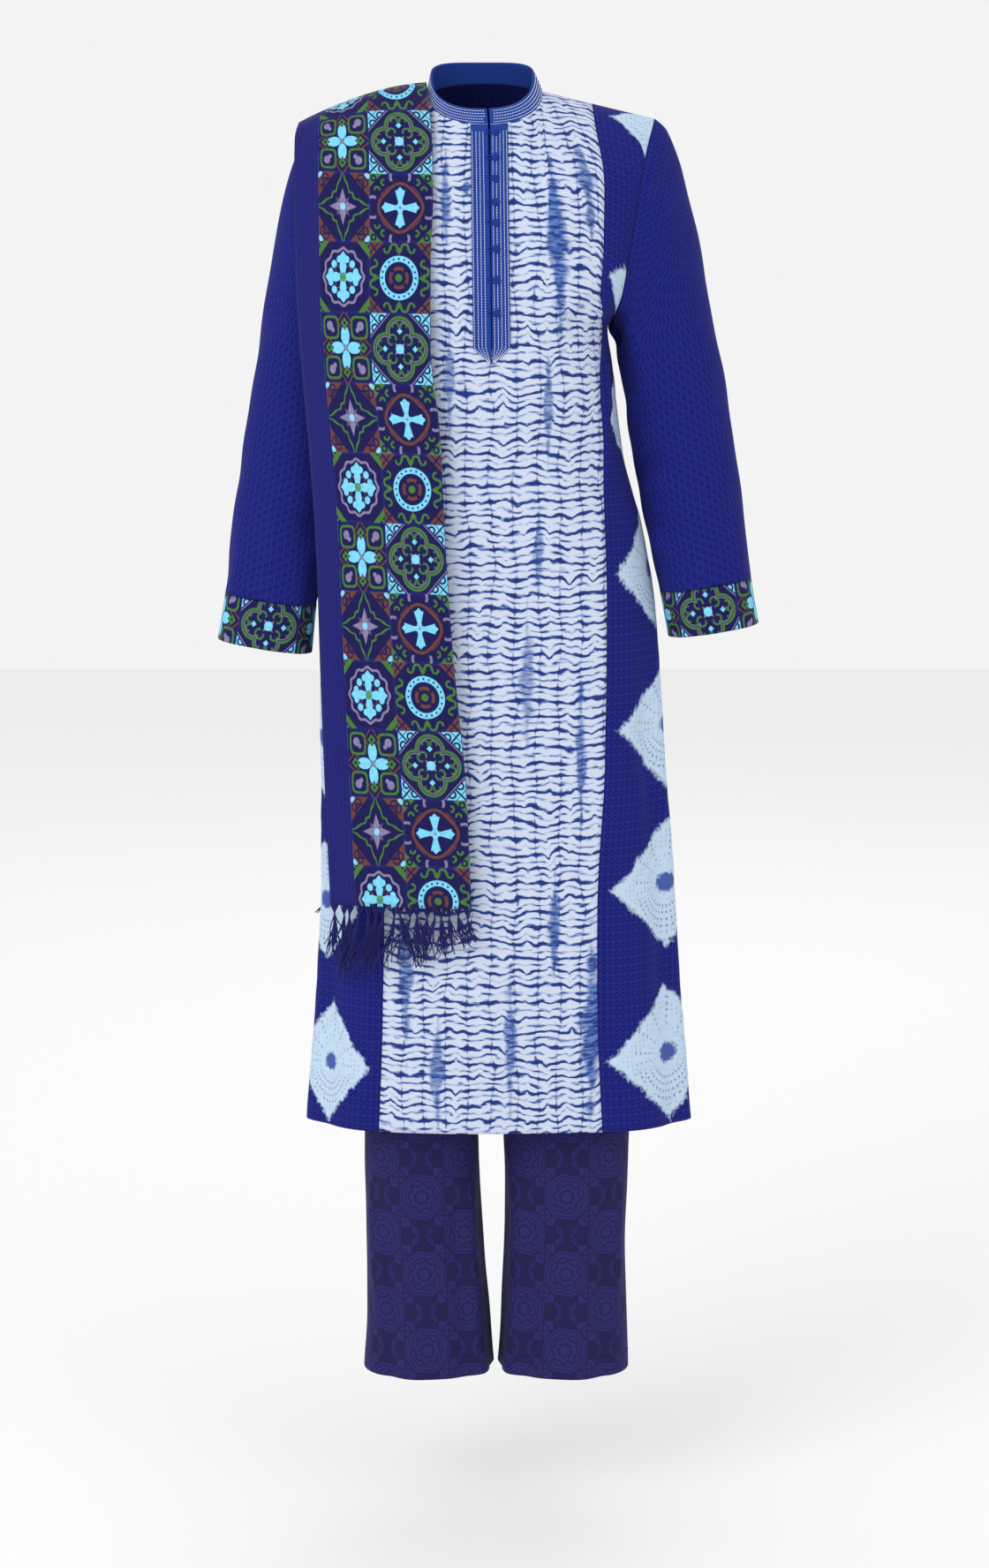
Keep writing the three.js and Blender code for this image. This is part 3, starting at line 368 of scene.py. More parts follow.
def unit(vectors):
    return vectors / np.maximum(np.linalg.norm(vectors, axis=-1, keepdims=True), 1e-9)


def grid_normals(points):
    """Unit normals of a grid: the cross product of its differences along the two directions."""
    return unit(np.cross(np.gradient(points, axis=0), np.gradient(points, axis=1)))


def folds(across, down, rows, period=None):
    """Height of the creases: for each, height times exp(-(distance from its bowed line / width) squared),
    faded in and, unless it is open, faded out along its length."""
    total = np.zeros(np.broadcast(across, down).shape)
    for start_across, start_down, end_across, end_down, bow, width, height, is_open in rows:
        line = np.array([end_across - start_across, end_down - start_down])
        length = np.hypot(*line)
        run = across - start_across
        if period:
            run = (run + period / 2) % period - period / 2
        drop = down - start_down
        share = (run * line[0] + drop * line[1]) / length**2
        aside = (run * line[1] - drop * line[0]) / length - bow * 4 * share * (1 - share)
        taper = smooth(share / 0.35) * (1 if is_open else smooth((1 - share) / 0.35))
        total += height * np.exp(-((aside / width) ** 2)) * taper
    return total


def ripples(across, down, size, height, seed):
    """Gentle unevenness of handled cloth: eight sine waves of about one size in seeded directions."""
    rng = np.random.default_rng(seed)
    total = np.zeros(np.broadcast(across, down).shape)
    for _ in range(8):
        turn, phase = rng.uniform(0, 2 * np.pi, 2)
        pitch = size * rng.uniform(0.7, 1.5)
        along = across * np.cos(turn) + down * np.sin(turn)
        total += np.sin(2 * np.pi * along / pitch + phase)
    return height * total / 8**0.5


def run_along(points, axis=0):
    """Distance along lines of points, from the first point of each."""
    steps = np.linalg.norm(np.diff(points, axis=axis), axis=-1)
    return np.cumsum(np.insert(steps, 0, 0.0, axis=axis), axis=axis)


def lengths_across(points, middle):
    """Cloth distance along the first direction of a grid, from its column number middle."""
    run = run_along(points)
    return run - run[middle]


def lengths_down(points, level):
    """Cloth distance along the second direction of a grid, from its row number level."""
    run = run_along(points, 1)
    return run - run[:, level : level + 1]


# ---------------------------------------------------------------- meshes


def mesh_object(name, points, faces, maps):
    """A mesh object from points in millimetres, quads (rows of four corners) and UV maps for each corner."""
    mesh = bpy.data.meshes.new(name)
    faces = np.asarray(faces, np.int32)
    size = faces.shape[1]
    mesh.vertices.add(len(points))
    mesh.vertices.foreach_set("co", (np.asarray(points, np.float64) * MM).astype(np.float32).ravel())
    mesh.loops.add(faces.size)
    mesh.loops.foreach_set("vertex_index", faces.ravel())
    mesh.polygons.add(len(faces))
    mesh.polygons.foreach_set("loop_start", np.arange(0, faces.size, size, dtype=np.int32))
    mesh.polygons.foreach_set("use_smooth", np.full(len(faces), True))
    for map_name, corners in maps:
        layer = mesh.uv_layers.new(name=map_name)
        layer.data.foreach_set("uv", np.asarray(corners, np.float32).ravel())
    mesh.update(calc_edges=True)
    mesh.validate()
    piece = bpy.data.objects.new(name, mesh)
    bpy.context.scene.collection.objects.link(piece)
    return piece


def grid_faces(columns, rows, ring=False, keep=None):
    """Corner numbers of a grid's cells, and the same with a ring's last column unwrapped."""
    i, j = np.meshgrid(np.arange(columns if ring else columns - 1), np.arange(rows - 1), indexing="ij")
    if keep is not None:
        i, j = i[keep], j[keep]
    i, j = i.ravel(), j.ravel()
    wrap = (i + 1) % columns
    cells = np.stack([i * rows + j, wrap * rows + j, wrap * rows + j + 1, i * rows + j + 1], axis=1)
    flat = np.stack([i * rows + j, (i + 1) * rows + j, (i + 1) * rows + j + 1, i * rows + j + 1], axis=1)
    return cells, flat


def shell(name, node, points, cells, maps, turned_out, material, slot, thickness, offset):
    """A mesh on a grid of points, with its wall, in its solid's place. Its faces are turned round where the
    grid's normals aren't turned out."""
    if not turned_out:
        cells = cells[:, ::-1]
        maps = [(title, values[:, ::-1]) for title, values in maps]
    piece = mesh_object(name, points.reshape(-1, 3), cells, maps)
    piece.data.materials.append(material)
    wall = piece.modifiers.new("Wall", "SOLIDIFY")
    wall.thickness = thickness * MM
    wall.offset = offset
    finish(piece, slot, node)
    return piece


def cloth(name, node, points, across, down, material, slot, thickness, held, inside, ring=False, keep=None,
          spots=None):
    """A cloth piece on a grid of points. A ring's grid has no repeated column, but its across and down do.

    The Cloth map holds the distances across and down in metres. The Dye map holds each cell's place in the
    spot nearest to it, in that spot's half sizes. Faces are turned away from the points called inside.
    """
    cells, flat = grid_faces(*points.shape[:2], ring, keep)
    places = np.stack([across, down], axis=-1).reshape(-1, 2)
    maps = [("Cloth", places[flat] * MM)]
    if spots is not None:
        maps.append(("Dye", spot_places(places[flat], spots)))
    turned_out = (grid_normals(points) * (points - inside)).sum(axis=-1).mean() >= 0
    piece = shell(name, node, points, cells, maps, turned_out, material, slot, thickness, -1.0)
    quads = points.reshape(-1, 3)[cells]
    area = 0.5 * np.linalg.norm(np.cross(quads[:, 2] - quads[:, 0], quads[:, 3] - quads[:, 1]), axis=1).sum()
    width = np.ptp(across, axis=0).max()
    length = np.ptp(down, axis=1).max()


def spot_places(corners, spots):
    """Each cell's corners in the half sizes of the spot nearest to the cell's middle."""
    middles = corners.mean(axis=1)
    centres, halves = spots[:, :2], spots[:, 2:]
    reach = np.abs((middles[:, None] - centres[None]) / halves[None]).sum(axis=-1)
    nearest = reach.argmin(axis=1)
    return (corners - centres[nearest][:, None]) / halves[nearest][:, None]


def finish(piece, slot, node=None):
    """The piece rides on the suit's body and stands for its solid. The slot is not used."""
    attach(piece, BODY)
    if node:
        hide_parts(node)


def tubes(name, paths, radii, sides, material, slot, reference=(0.0, 1.0, 0.0)):
    """Round threads along many paths of equally many points, joined in one mesh with closed ends.

    A ring's corner is the path's point plus radius (cos turn side + sin turn rise), where side is square to
    the path and to the reference, and rise is square to both.
    """
    tangents = unit(np.gradient(paths, axis=1))
    side = unit(np.cross(tangents, np.broadcast_to(np.asarray(reference, float), paths.shape)))
    rise = np.cross(side, tangents)
    turns = np.linspace(0, 2 * np.pi, sides, endpoint=False)
    ring = np.cos(turns)[:, None] * side[..., None, :] + np.sin(turns)[:, None] * rise[..., None, :]
    points = paths[..., None, :] + radii[..., None, None] * ring
    count, steps = paths.shape[:2]
    tips = paths[:, [0, -1]]
    corners = np.concatenate([points.reshape(-1, 3), tips.reshape(-1, 3)])
    n, s, k = np.meshgrid(np.arange(count), np.arange(steps - 1), np.arange(sides), indexing="ij")
    first = (n * steps + s) * sides
    after = (k + 1) % sides
    walls = np.stack([first + k, first + after, first + sides + after, first + sides + k], axis=-1)
    n, k = np.meshgrid(np.arange(count), np.arange(0, sides, 2), indexing="ij")
    tip = count * steps * sides + 2 * n
    start = n * steps * sides
    end = start + (steps - 1) * sides
    caps = [
        np.stack([tip, start + (k + 2) % sides, start + (k + 1) % sides, start + k], axis=-1),
        np.stack([tip + 1, end + k, end + (k + 1) % sides, end + (k + 2) % sides], axis=-1),
    ]
    along = run_along(paths, 1)
    places = np.stack(np.broadcast_arrays(turns * radii.mean(), along[..., None]), axis=-1).reshape(-1, 2)
    ends = np.zeros((2 * count, 2))
    ends[1::2, 1] = along[:, -1]
    places = np.concatenate([places, ends])
    faces = np.concatenate([quads.reshape(-1, 4) for quads in (walls, *caps)])
    piece = mesh_object(name, corners, faces, [("Cloth", places[faces] * MM)])
    piece.data.materials.append(material)
    finish(piece, slot)
    return piece


# ---------------------------------------------------------------- the kameez's form


def neck_share(x):
    return np.abs(x - NECK_X) / NECK_HALF


def ridge_z(x):
    """The ridge over the shoulders, and inside the neck a parabola up to the neck's root."""
    share = neck_share(x)
    return np.where(share < 1, NECK_ROOT_RISE * (1 - share**2), -SHOULDER_SLOPE * NECK_HALF * (share - 1))


def body_y(side, x, z, lift=0.0):
    """The cloth's y in front (side -1) or behind (side 1): a superellipse of the level's half width and
    depth, drawn in to the ridge above by a quarter circle. The lift moves it outwards."""
    level = body(z)
    depth = (level["front"] if side < 0 else level["back"]) + lift
    share = np.minimum(np.abs(x - level["shift"]) / (level["half"] + lift), 1)
    bulge = depth * (1 - share**BODY_ROUND) ** (1 / BODY_ROUND)
    drop = np.clip((ridge_z(x) + lift - z) / (FRONT_ROUND if side < 0 else BACK_ROUND), 0, 1)
    return lerp(RIDGE_Y, side * bulge, np.sqrt(1 - (1 - drop) ** 2)) + side * SEAM / 2


def top_z(side, x):
    """The panels' top edge: the shoulder seam, or a superellipse neckline in front and an arc behind."""
    share = np.minimum(neck_share(x), 1)
    if side < 0:
        inside = np.minimum(-NECK_DROP * (1 - share**NECK_ROUND) ** (1 / NECK_ROUND), ridge_z(x))
    else:
        reach = NECK_BACK_REACH * np.sqrt(1 - share**2)
        inside = ridge_z(x) - BACK_ROUND * (1 - np.sqrt(1 - reach**2))
    return np.where(neck_share(x) < 1, inside, ridge_z(x))


def edge_x(hand, z):
    """The panels' outer edge: the armhole, and below it the side seam."""
    level = body(z)
    limit = np.where(z > ARMPIT_Z, np.minimum(armhole(z)["x"], level["half"]), level["half"])
    return level["shift"] + hand * limit


def seam_x(hand, z):
    level = body(z)
    return -level["seam_right"] if hand < 0 else level["seam_left"]


def slit_x(z):
    share = np.clip((z + NECK_DROP) / (PLACKET_END_Z + NECK_DROP), 0, 1)
    return lerp(SLIT_TOP_X, SLIT_END_X, share)


def slit_half(z):
    return lerp(SLIT_OPEN_HALF, SLIT_SHUT_HALF, np.clip((z + NECK_DROP) / (SLIT_SHUT_Z + NECK_DROP), 0, 1))


def body_turn(side, x, z):
    """Degrees round the body from the front's middle, positive to the wearer's left."""
    level = body(z)
    share = np.minimum(np.abs(x - level["shift"]) / level["half"], 1)
    turn = np.degrees(np.arcsin(share ** (BODY_ROUND / 2)))
    return np.sign(x - level["shift"]) * (turn if side < 0 else 180 - turn)


ROW_SHARES = (1 - np.cos(np.linspace(0, np.pi, 57))) / 2
LEVELS = np.linspace(ARMPIT_Z, HEM_Z, 176)[1:]
ARMPIT_ROW = len(ROW_SHARES) - 1


def panel(side, column_x):
    """A body panel's grid. column_x(z, share) gives the columns' places at heights, for a share of the way
    down to the armpit; rows run from the top edge to the armpit's level and on down to the hem."""
    top = top_z(side, column_x(top_z(side, column_x(np.zeros((1, 1)), 0.0)), 0.0))
    above = lerp(top, ARMPIT_Z, ROW_SHARES[None])
    below = np.broadcast_to(LEVELS, (len(top), len(LEVELS)))
    z = np.concatenate([above, below], axis=1)
    share = np.concatenate([ROW_SHARES, np.ones(len(LEVELS))])[None]
    x = column_x(z, share)
    return np.stack([x, body_y(side, x, z), z], axis=-1)


def creased(side, points, settings):
    """The panel with its creases and unevenness, moved along its normals, still at its seams' edges."""
    x, z = points[..., 0], points[..., 2]
    across = body_turn(side, x, z) * BODY_TURN
    height = folds(across, z, BODY_FOLDS, 360 * BODY_TURN) * settings.fold_depth
    height = height + ripples(across, z, 120, 0.5, 11) + ripples(across, z, 34, 0.16, 12)
    height = height * smooth((top_z(side, x) - z) / 30)
    from_edge = np.minimum(np.abs(x - edge_x(-1, z)), np.abs(x - edge_x(1, z)))
    height = height * lerp(1, smooth(from_edge / 18), smooth((z - ARMPIT_Z + 20) / 20))
    if side < 0:
        from_placket = smooth((np.abs(x - slit_x(z)) - PLACKET_WIDTH) / 25)
        height = height * lerp(from_placket, 1, smooth((PLACKET_POINT_Z - z) / 40))
    normals = grid_normals(points)
    normals = normals * np.sign(side * normals[..., 1].mean())
    return points + normals * height[..., None]


def settings_of(context):
    return context.scene.suit_sizes


# ---------------------------------------------------------------- kameez panels


def centre_half(hand):
    """Column places of the front centre panel to one hand of the slit: to the placket's edge in four cells,
    then to the seam, with a column at the neckline's end."""
    edge = SLIT_TOP_X + hand * PLACKET_WIDTH
    neck = (NECK_X + hand * NECK_HALF - edge) / (seam_x(hand, 0.0) - edge)
    to_neck = neck * np.sin(np.linspace(0, np.pi / 2, 15))
    to_seam = np.linspace(neck, 1, 13)
    return np.concatenate([np.linspace(0, 1, 5), 1 + to_neck[1:], 1 + to_seam[1:]])[:, None]


def centre_column(hand, places):
    def column_x(z, share):
        start = slit_x(z) + hand * slit_half(z)
        edge = slit_x(z) + hand * PLACKET_WIDTH
        seam = seam_x(hand, z) - hand * SEAM / 2
        return np.where(places < 1, lerp(start, edge, places), lerp(edge, seam, places - 1))

    return column_x


def side_column(hand, places):
    """Equal turns of the body's superellipse between the centre panel's seam and the panel's edge."""

    def column_x(z, share):
        level = body(z)

        def turn_of(x):
            return np.arcsin(np.minimum(np.abs(x - level["shift"]) / level["half"], 1) ** (BODY_ROUND / 2))

        start = seam_x(hand, z) + hand * SEAM / 2
        turn = lerp(turn_of(start), turn_of(edge_x(hand, z)), places)
        return level["shift"] + hand * level["half"] * np.sin(turn) ** (2 / BODY_ROUND)

    return column_x


def back_column(columns):
    """The back's columns: places along the shoulders and neckline at the top, equal turns at the armpit."""
    top_places = np.array([
        *[-share * SHOULDER_HALF for share in reversed(BACK_SHOULDER_SHARES)],
        *[NECK_X + NECK_HALF * share for share in BACK_NECK_SHARES],
        *[share * SHOULDER_HALF for share in BACK_SHOULDER_SHARES],
    ])
    top = np.interp(columns, np.arange(BACK_COLUMNS + 1), top_places)
    turn = lerp(-np.pi / 2, np.pi / 2, columns / BACK_COLUMNS)
    hand = np.where(turn < 0, -1.0, 1.0)

    def column_x(z, share):
        edge = np.where(hand < 0, edge_x(-1, z), edge_x(1, z))
        low = lerp(body(z)["shift"], edge, np.abs(np.sin(turn)) ** (2 / BODY_ROUND))
        place = lerp(top, low, share)
        return np.where((columns == 0) | (columns == BACK_COLUMNS), edge, place)

    return column_x


# Tie-dyed diamonds: x and z of the corner towards the suit's middle, and the half width and half height on
# the cloth, which runs on round the side.
LEFT_SPOTS = [
    (127, -26, 58, 52), (124, -190, 66, 70), (127, -345, 64, 66), (133, -505, 72, 70), (137, -673, 74, 72),
    (127, -845, 80, 74), (129, -1034, 82, 79),
]
RIGHT_SPOTS = [
    (-127, -30, 58, 52), (-124, -196, 64, 68), (-128, -350, 62, 66), (-131, -515, 62, 68),
    (-134, -690, 58, 68), (-134, -866, 56, 68), (-125, -1046, 58, 70),
]


def spots_on(points, across, down, rows):
    """The spots' middles in cloth distances, from the grid's point nearest to each one's inner corner."""
    x, z = points[..., 0], points[..., 2]
    placed = []
    for corner_x, corner_z, half_width, half_height in rows:
        off = (x - corner_x) ** 2 + (z - corner_z) ** 2
        at = np.unravel_index(off.argmin(), off.shape)
        row_across, row_x = across[:, at[1]], x[:, at[1]]
        outwards = np.sign(corner_x * (row_across[-1] - row_across[0]) * (row_x[-1] - row_x[0]))
        placed.append((across[at] + outwards * half_width, down[at], half_width, half_height))
    return np.array(placed, float)


def axis_points(points, x=0.0):
    """The points moved level to the upright line at x through the body's middle."""
    return points * np.array([0, 0, 1]) + np.array([x, 0, 0])


def add_front_centre(context, material):
    settings = settings_of(context)
    halves = [panel(-1, centre_column(hand, centre_half(hand))) for hand in (-1, 1)]
    points = np.concatenate([halves[0][::-1], halves[1]])
    slit = len(halves[0]) - 1
    across = lengths_across(points, slit)
    down = lengths_down(points, ARMPIT_ROW) - ARMPIT_Z
    keep = np.ones((points.shape[0] - 1, points.shape[1] - 1), bool)
    keep[slit] = points[slit, 1:, 2] < PLACKET_END_Z
    cloth("kameez_front_centre_cloth", "kameez_front_centre", creased(-1, points, settings), across, down,
          material, "striped_cloth", settings.cloth, "hung", axis_points(points), keep=keep)


def add_front_side(context, material, side_name, hand, rows):
    settings = settings_of(context)
    points = panel(-1, side_column(hand, np.linspace(0, 1, 29)[:, None]))
    across = lengths_across(points, 0) * hand
    down = lengths_down(points, ARMPIT_ROW) - ARMPIT_Z
    name = f"kameez_side_{side_name}"
    cloth(f"{name}_cloth", name, creased(-1, points, settings), across, down, material, "blue_cloth",
          settings.cloth, "hung", axis_points(points), spots=spots_on(points, across, down, rows))


def add_back(context, material):
    settings = settings_of(context)
    points = panel(1, back_column(np.linspace(0, BACK_COLUMNS, 97)[:, None]))
    across = lengths_across(points, len(points) // 2)
    down = lengths_down(points, ARMPIT_ROW) - ARMPIT_Z
    spots = np.concatenate([spots_on(points, across, down, rows) for rows in (LEFT_SPOTS, RIGHT_SPOTS)])
    cloth("kameez_back_cloth", "kameez_back", creased(1, points, settings), across, down, material,
          "blue_cloth", settings.cloth, "hung", axis_points(points), spots=spots)


# ---------------------------------------------------------------- sleeves and cuffs


def armhole_points(hand, turns):
    """The armhole's ring, from the shoulder tip down the front edge and up the back edge."""
    top = top_z(-1, edge_x(hand, top_z(-1, edge_x(hand, 0.0))))
    z = lerp(top, ARMPIT_Z, (1 - np.cos(turns)) / 2)
    x = edge_x(hand, z)
    y = np.where(turns < np.pi, body_y(-1, x, z), body_y(1, x, z))
    return np.stack([x + hand * ARMHOLE_GAP, y, z], axis=-1)


def sleeve_points(hand, table, turns, steps):
    """The sleeve between its rings. Each point keeps a share of its place on the armhole and turns to an
    oval: centre + axis cos(turn) + depth sin(turn) forward."""
    ring = armhole_points(hand, turns)
    tip = armhole_points(hand, np.array(0.0))
    pit = armhole_points(hand, np.array(np.pi))
    middle = (tip + pit) / 2
    long = tip - middle
    square = unit(np.array([long[2], 0, -long[0]]))
    first = (0, hand * tip[0], tip[2], hand * pit[0], pit[2], middle[1], 66, 0)
    at = profile("step", ARM_COLUMNS, [first, *table])(steps)
    centre = np.stack([
        hand * (at["out_x"] + at["in_x"]) / 2, at["y"], (at["out_z"] + at["in_z"]) / 2,
    ], axis=-1)
    zero = np.zeros_like(at["y"])
    axis = np.stack([hand * (at["out_x"] - at["in_x"]) / 2, zero, (at["out_z"] - at["in_z"]) / 2], axis=-1)
    ring_square = unit(np.stack([axis[..., 2], zero, -axis[..., 0]], axis=-1))
    offset = ring - middle
    along = lerp((offset @ long / (long @ long))[:, None], np.cos(turns)[:, None], at["oval"][None])
    forward = lerp(offset[:, 1][:, None], -np.sin(turns)[:, None] * at["depth"][None], at["oval"][None])
    bow = (offset @ square)[:, None] * (1 - at["oval"][None])
    points = centre[None] + along[..., None] * axis[None] + bow[..., None] * ring_square[None]
    points[..., 1] += forward
    return lerp(ring[:, None], points, np.clip(steps, 0, 1)[None, :, None])


def sleeve_creased(points, turns, settings, seed):
    """A sleeve's grid with its creases, and their heights. Across is the turn times the arm's radius, and
    down the length of the arm."""
    centre = points[:-1].mean(axis=0, keepdims=True)
    down = run_along(centre[0])[None]
    across = turns[:, None] * SLEEVE_RADIUS
    period = 2 * np.pi * SLEEVE_RADIUS
    height = folds(across, down, SLEEVE_FOLDS, period) * settings.fold_depth
    height = height + ripples(np.cos(turns)[:, None] * 60, down + np.sin(turns)[:, None] * 50, 70, 0.6, seed)
    height = height * smooth(down / 22)
    normals = grid_normals(points)
    normals = normals * np.sign((normals * (points - centre)).sum(axis=-1).mean())
    normals[-1] = normals[0] = unit(normals[0] + normals[-1])
    return points + normals * height[..., None], height


def add_arm(context, side_name, hand, table, blue, print_cloth):
    settings = settings_of(context)
    turns = np.linspace(0, 2 * np.pi, 97)
    gap = 0.011  # of a ring's step, between the sleeve and its cuff
    for part, material, slot, steps, wall in (
        ("sleeve", blue, "blue_cloth", np.linspace(0, ARM_STEPS, 118), settings.cloth),
        ("cuff", print_cloth, "cuff_print", np.linspace(ARM_STEPS + gap, ARM_STEPS + 1, 14), settings.band),
    ):
        points = sleeve_points(hand, table, turns, steps)
        if part == "sleeve":
            points, height = sleeve_creased(points, turns, settings, 41 + hand)
            last = height[:, -1:]
        else:
            centre = points[:-1].mean(axis=0, keepdims=True)
            points = points + unit(points - centre) * (last * 0.6)[..., None]
        across = lengths_across(points, 0)
        down = lengths_down(points, 0)
        name = f"{part}_{side_name}"
        cloth(f"{name}_cloth", name, points[:-1], across, down, material, slot, wall, "hung",
              points[:-1].mean(axis=0, keepdims=True), ring=True)


# ---------------------------------------------------------------- collar, placket, buttons


def from_neck(points):
    """Unit level directions from the neck's middle to the points."""
    return unit(points * np.array([1, 1, 0]) - np.array([NECK_X, 0, 0]))


def collar_points(turns, heights):
    """The standing band: straight from the neckline up to a smaller, tilted superellipse. The turn runs round
    the neck from the slit, and the height from 0 at the neckline to 1 at the top edge."""
    x = NECK_X + NECK_HALF * np.sin(turns)
    front = np.cos(turns) > 0
    z = np.where(front, top_z(-1, x), top_z(1, x))
    y = np.where(front, body_y(-1, x, z), body_y(1, x, z))
    foot = np.stack([x, y, z + COLLAR_LIFT], axis=-1)
    turn = np.arctan2(x - NECK_X, -(y - RIDGE_Y / 2))
    ahead = np.maximum(np.cos(turn), 0) ** (2 / COLLAR_ROUND)
    behind = np.maximum(-np.cos(turn), 0)
    sine = signed_power(np.sin(turn), np.where(np.cos(turn) > 0, 2 / COLLAR_ROUND, 1.0))
    rise = (COLLAR_BACK_Z - COLLAR_SIDE_Z) * np.sin(behind * np.pi / 2)
    top = np.stack([COLLAR_X + COLLAR_HALF * sine, COLLAR_FRONT_Y * ahead + COLLAR_BACK_Y * behind,
                    lerp(COLLAR_SIDE_Z, COLLAR_FRONT_Z, ahead) + rise], axis=-1)
    points = lerp(foot[:, None], top[:, None], heights[None, :, None])
    swell = 0.5 * np.sin(np.pi * heights)[None, :, None]
    return points + from_neck(points) * swell


COLLAR_START = math.asin((SLIT_TOP_X + SLIT_OPEN_HALF - NECK_X) / NECK_HALF)
COLLAR_FINISH = 2 * math.pi + math.asin((SLIT_TOP_X - SLIT_OPEN_HALF - NECK_X) / NECK_HALF)


def add_collar(context, material):
    settings = settings_of(context)
    turns = np.linspace(COLLAR_START, COLLAR_FINISH, 181)
    points = collar_points(turns, np.linspace(0, 1, 13))
    across = lengths_across(points, 0)
    down = lengths_down(points, 0)
    cloth("collar_cloth", "collar", points, across, down, material, "royal_trim", settings.band, "stretched",
          axis_points(points, NECK_X))


def placket_points(hand, across_shares, z, lift=PLACKET_LIFT):
    """A placket strip's face over the centre panel; below its straight sides it narrows to half a point."""
    across_shares = across_shares[:, None]
    start = slit_x(z) + hand * slit_half(z)
    edge = slit_x(z) + hand * PLACKET_WIDTH
    narrow = np.clip((PLACKET_END_Z - z) / (PLACKET_END_Z - PLACKET_POINT_Z), 0, 1)
    x = lerp(start, lerp(edge, start + hand * 1.2, narrow), across_shares)
    return np.stack([x, body_y(-1, x, z, lift), np.broadcast_to(z, x.shape)], axis=-1)


def placket_rows(across_shares, hand):
    """Heights of a strip's rows: from just below the collar to the point."""
    x = SLIT_TOP_X + hand * PLACKET_WIDTH * across_shares
    top = top_z(-1, x) - 0.4
    share = np.linspace(0, 1, 89)[None]
    return lerp(top[:, None], PLACKET_POINT_Z, share)


def add_placket(context, material):
    settings = settings_of(context)
    for side_name, hand in (("right", -1), ("left", 1)):
        shares = np.linspace(0, 1, 13)
        z = placket_rows(shares, hand)
        points = placket_points(hand, shares, z)
        roll = 0.35 * np.exp(-((shares * PLACKET_WIDTH / 1.2) ** 2))
        points[..., 1] += roll[:, None]
        name = f"placket_{side_name}"
        cloth(f"{name}_cloth", name, points, lengths_across(points, 0) * hand, lengths_down(points, 0),
              material, "royal_trim", settings.placket, "stretched", axis_points(points))


BUTTON_SIDES = 24
BUTTON_RINGS = 12
BUTTON_HEIGHT = 3.0
BUTTON_FOOT = 1.8


def button_directions(middle):
    """Out of the placket's face at a button, level along it and up it."""
    step = 2.0
    x, _, z = middle
    lean_z = (body_y(-1, x, z + step) - body_y(-1, x, z - step)) / (2 * step)
    lean_x = (body_y(-1, x + step, z) - body_y(-1, x - step, z)) / (2 * step)
    out = unit(np.array([lean_x, -1.0, lean_z]))
    level = unit(np.cross(out, [0, 0, 1.0]))
    return out, level, np.cross(level, out)


def button_cap(ring_number, tip):
    """Quads from a tip to one of the button's rings, two of its cells to a quad."""
    start = np.arange(0, BUTTON_SIDES, 2)
    ring = [(start + k) % BUTTON_SIDES * BUTTON_RINGS + ring_number for k in range(3)]
    return np.stack([np.full(len(start), tip), *ring], axis=1)


def add_button(number, material):
    """A covered button: a dome r = R cos(t)^0.62, h = H sin(t) with a rolled rim, on its solid's middle.
    Gives the path of its thread loop."""
    low, high = (np.array(corner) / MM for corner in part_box(f"button_{number}"))
    middle = (low + high) / 2
    radius = (high[0] - low[0]) / 2
    out, level, up = button_directions(middle)
    turns = np.linspace(0, 2 * np.pi, BUTTON_SIDES + 1)[:-1]
    rise = np.linspace(-0.55, np.pi / 2 * 0.985, BUTTON_RINGS)
    ring = np.cos(rise) ** 0.62 * radius
    lift = np.where(rise < 0, rise * 1.9, np.sin(rise) * BUTTON_HEIGHT) - 0.4
    points = (middle + (np.cos(turns)[:, None] * ring)[..., None] * level
              + (np.sin(turns)[:, None] * ring)[..., None] * up + lift[None, :, None] * out)
    cells, _ = grid_faces(BUTTON_SIDES, BUTTON_RINGS, ring=True)
    crown = BUTTON_SIDES * BUTTON_RINGS
    tips = [points[:, -1].mean(axis=0) + 0.02 * out, middle - BUTTON_FOOT * out]
    corners = np.concatenate([points.reshape(-1, 3), tips])
    under = button_cap(0, crown + 1)[:, [0, 3, 2, 1]]
    faces = np.concatenate([cells, button_cap(BUTTON_RINGS - 1, crown), under])
    local = corners - middle
    places = np.stack([local @ level, local @ up], axis=-1)
    piece = mesh_object(f"button_{number}_cover", corners, faces, [("Cloth", places[faces] * MM)])
    piece.data.materials.append(material)
    finish(piece, "button_cloth", f"button_{number}")
    return loop_path(middle, out, level, up, radius)


def add_buttons(material, loop_material):
    paths = np.array([add_button(k, material) for k in range(1, BUTTON_COUNT + 1)])
    tubes("button_loops", paths, np.full(paths.shape[:2], 0.55), 8, loop_material, "button_cloth",
          reference=(0.0, 0.0, 1.0))


def loop_path(middle, out, level, up, radius):
    """A thread loop: straight out of the far strip's edge, by a half circle round the button's foot, back."""
    reach = radius + 0.35
    turn = np.linspace(np.pi / 2, -np.pi / 2, 15)
    straight = np.linspace(-9.5, -0.5, 5)
    leg_rise = reach * 0.55 + np.linspace(-1.4, 0, len(straight))
    toward = level if level[0] > 0 else -level
    run = np.concatenate([straight, reach * np.cos(turn), straight[::-1]])
    rise = np.concatenate([leg_rise, reach * np.sin(turn) * 0.9, -leg_rise[::-1]])
    return middle + run[:, None] * toward + rise[:, None] * up - 0.9 * out


# ---------------------------------------------------------------- trousers


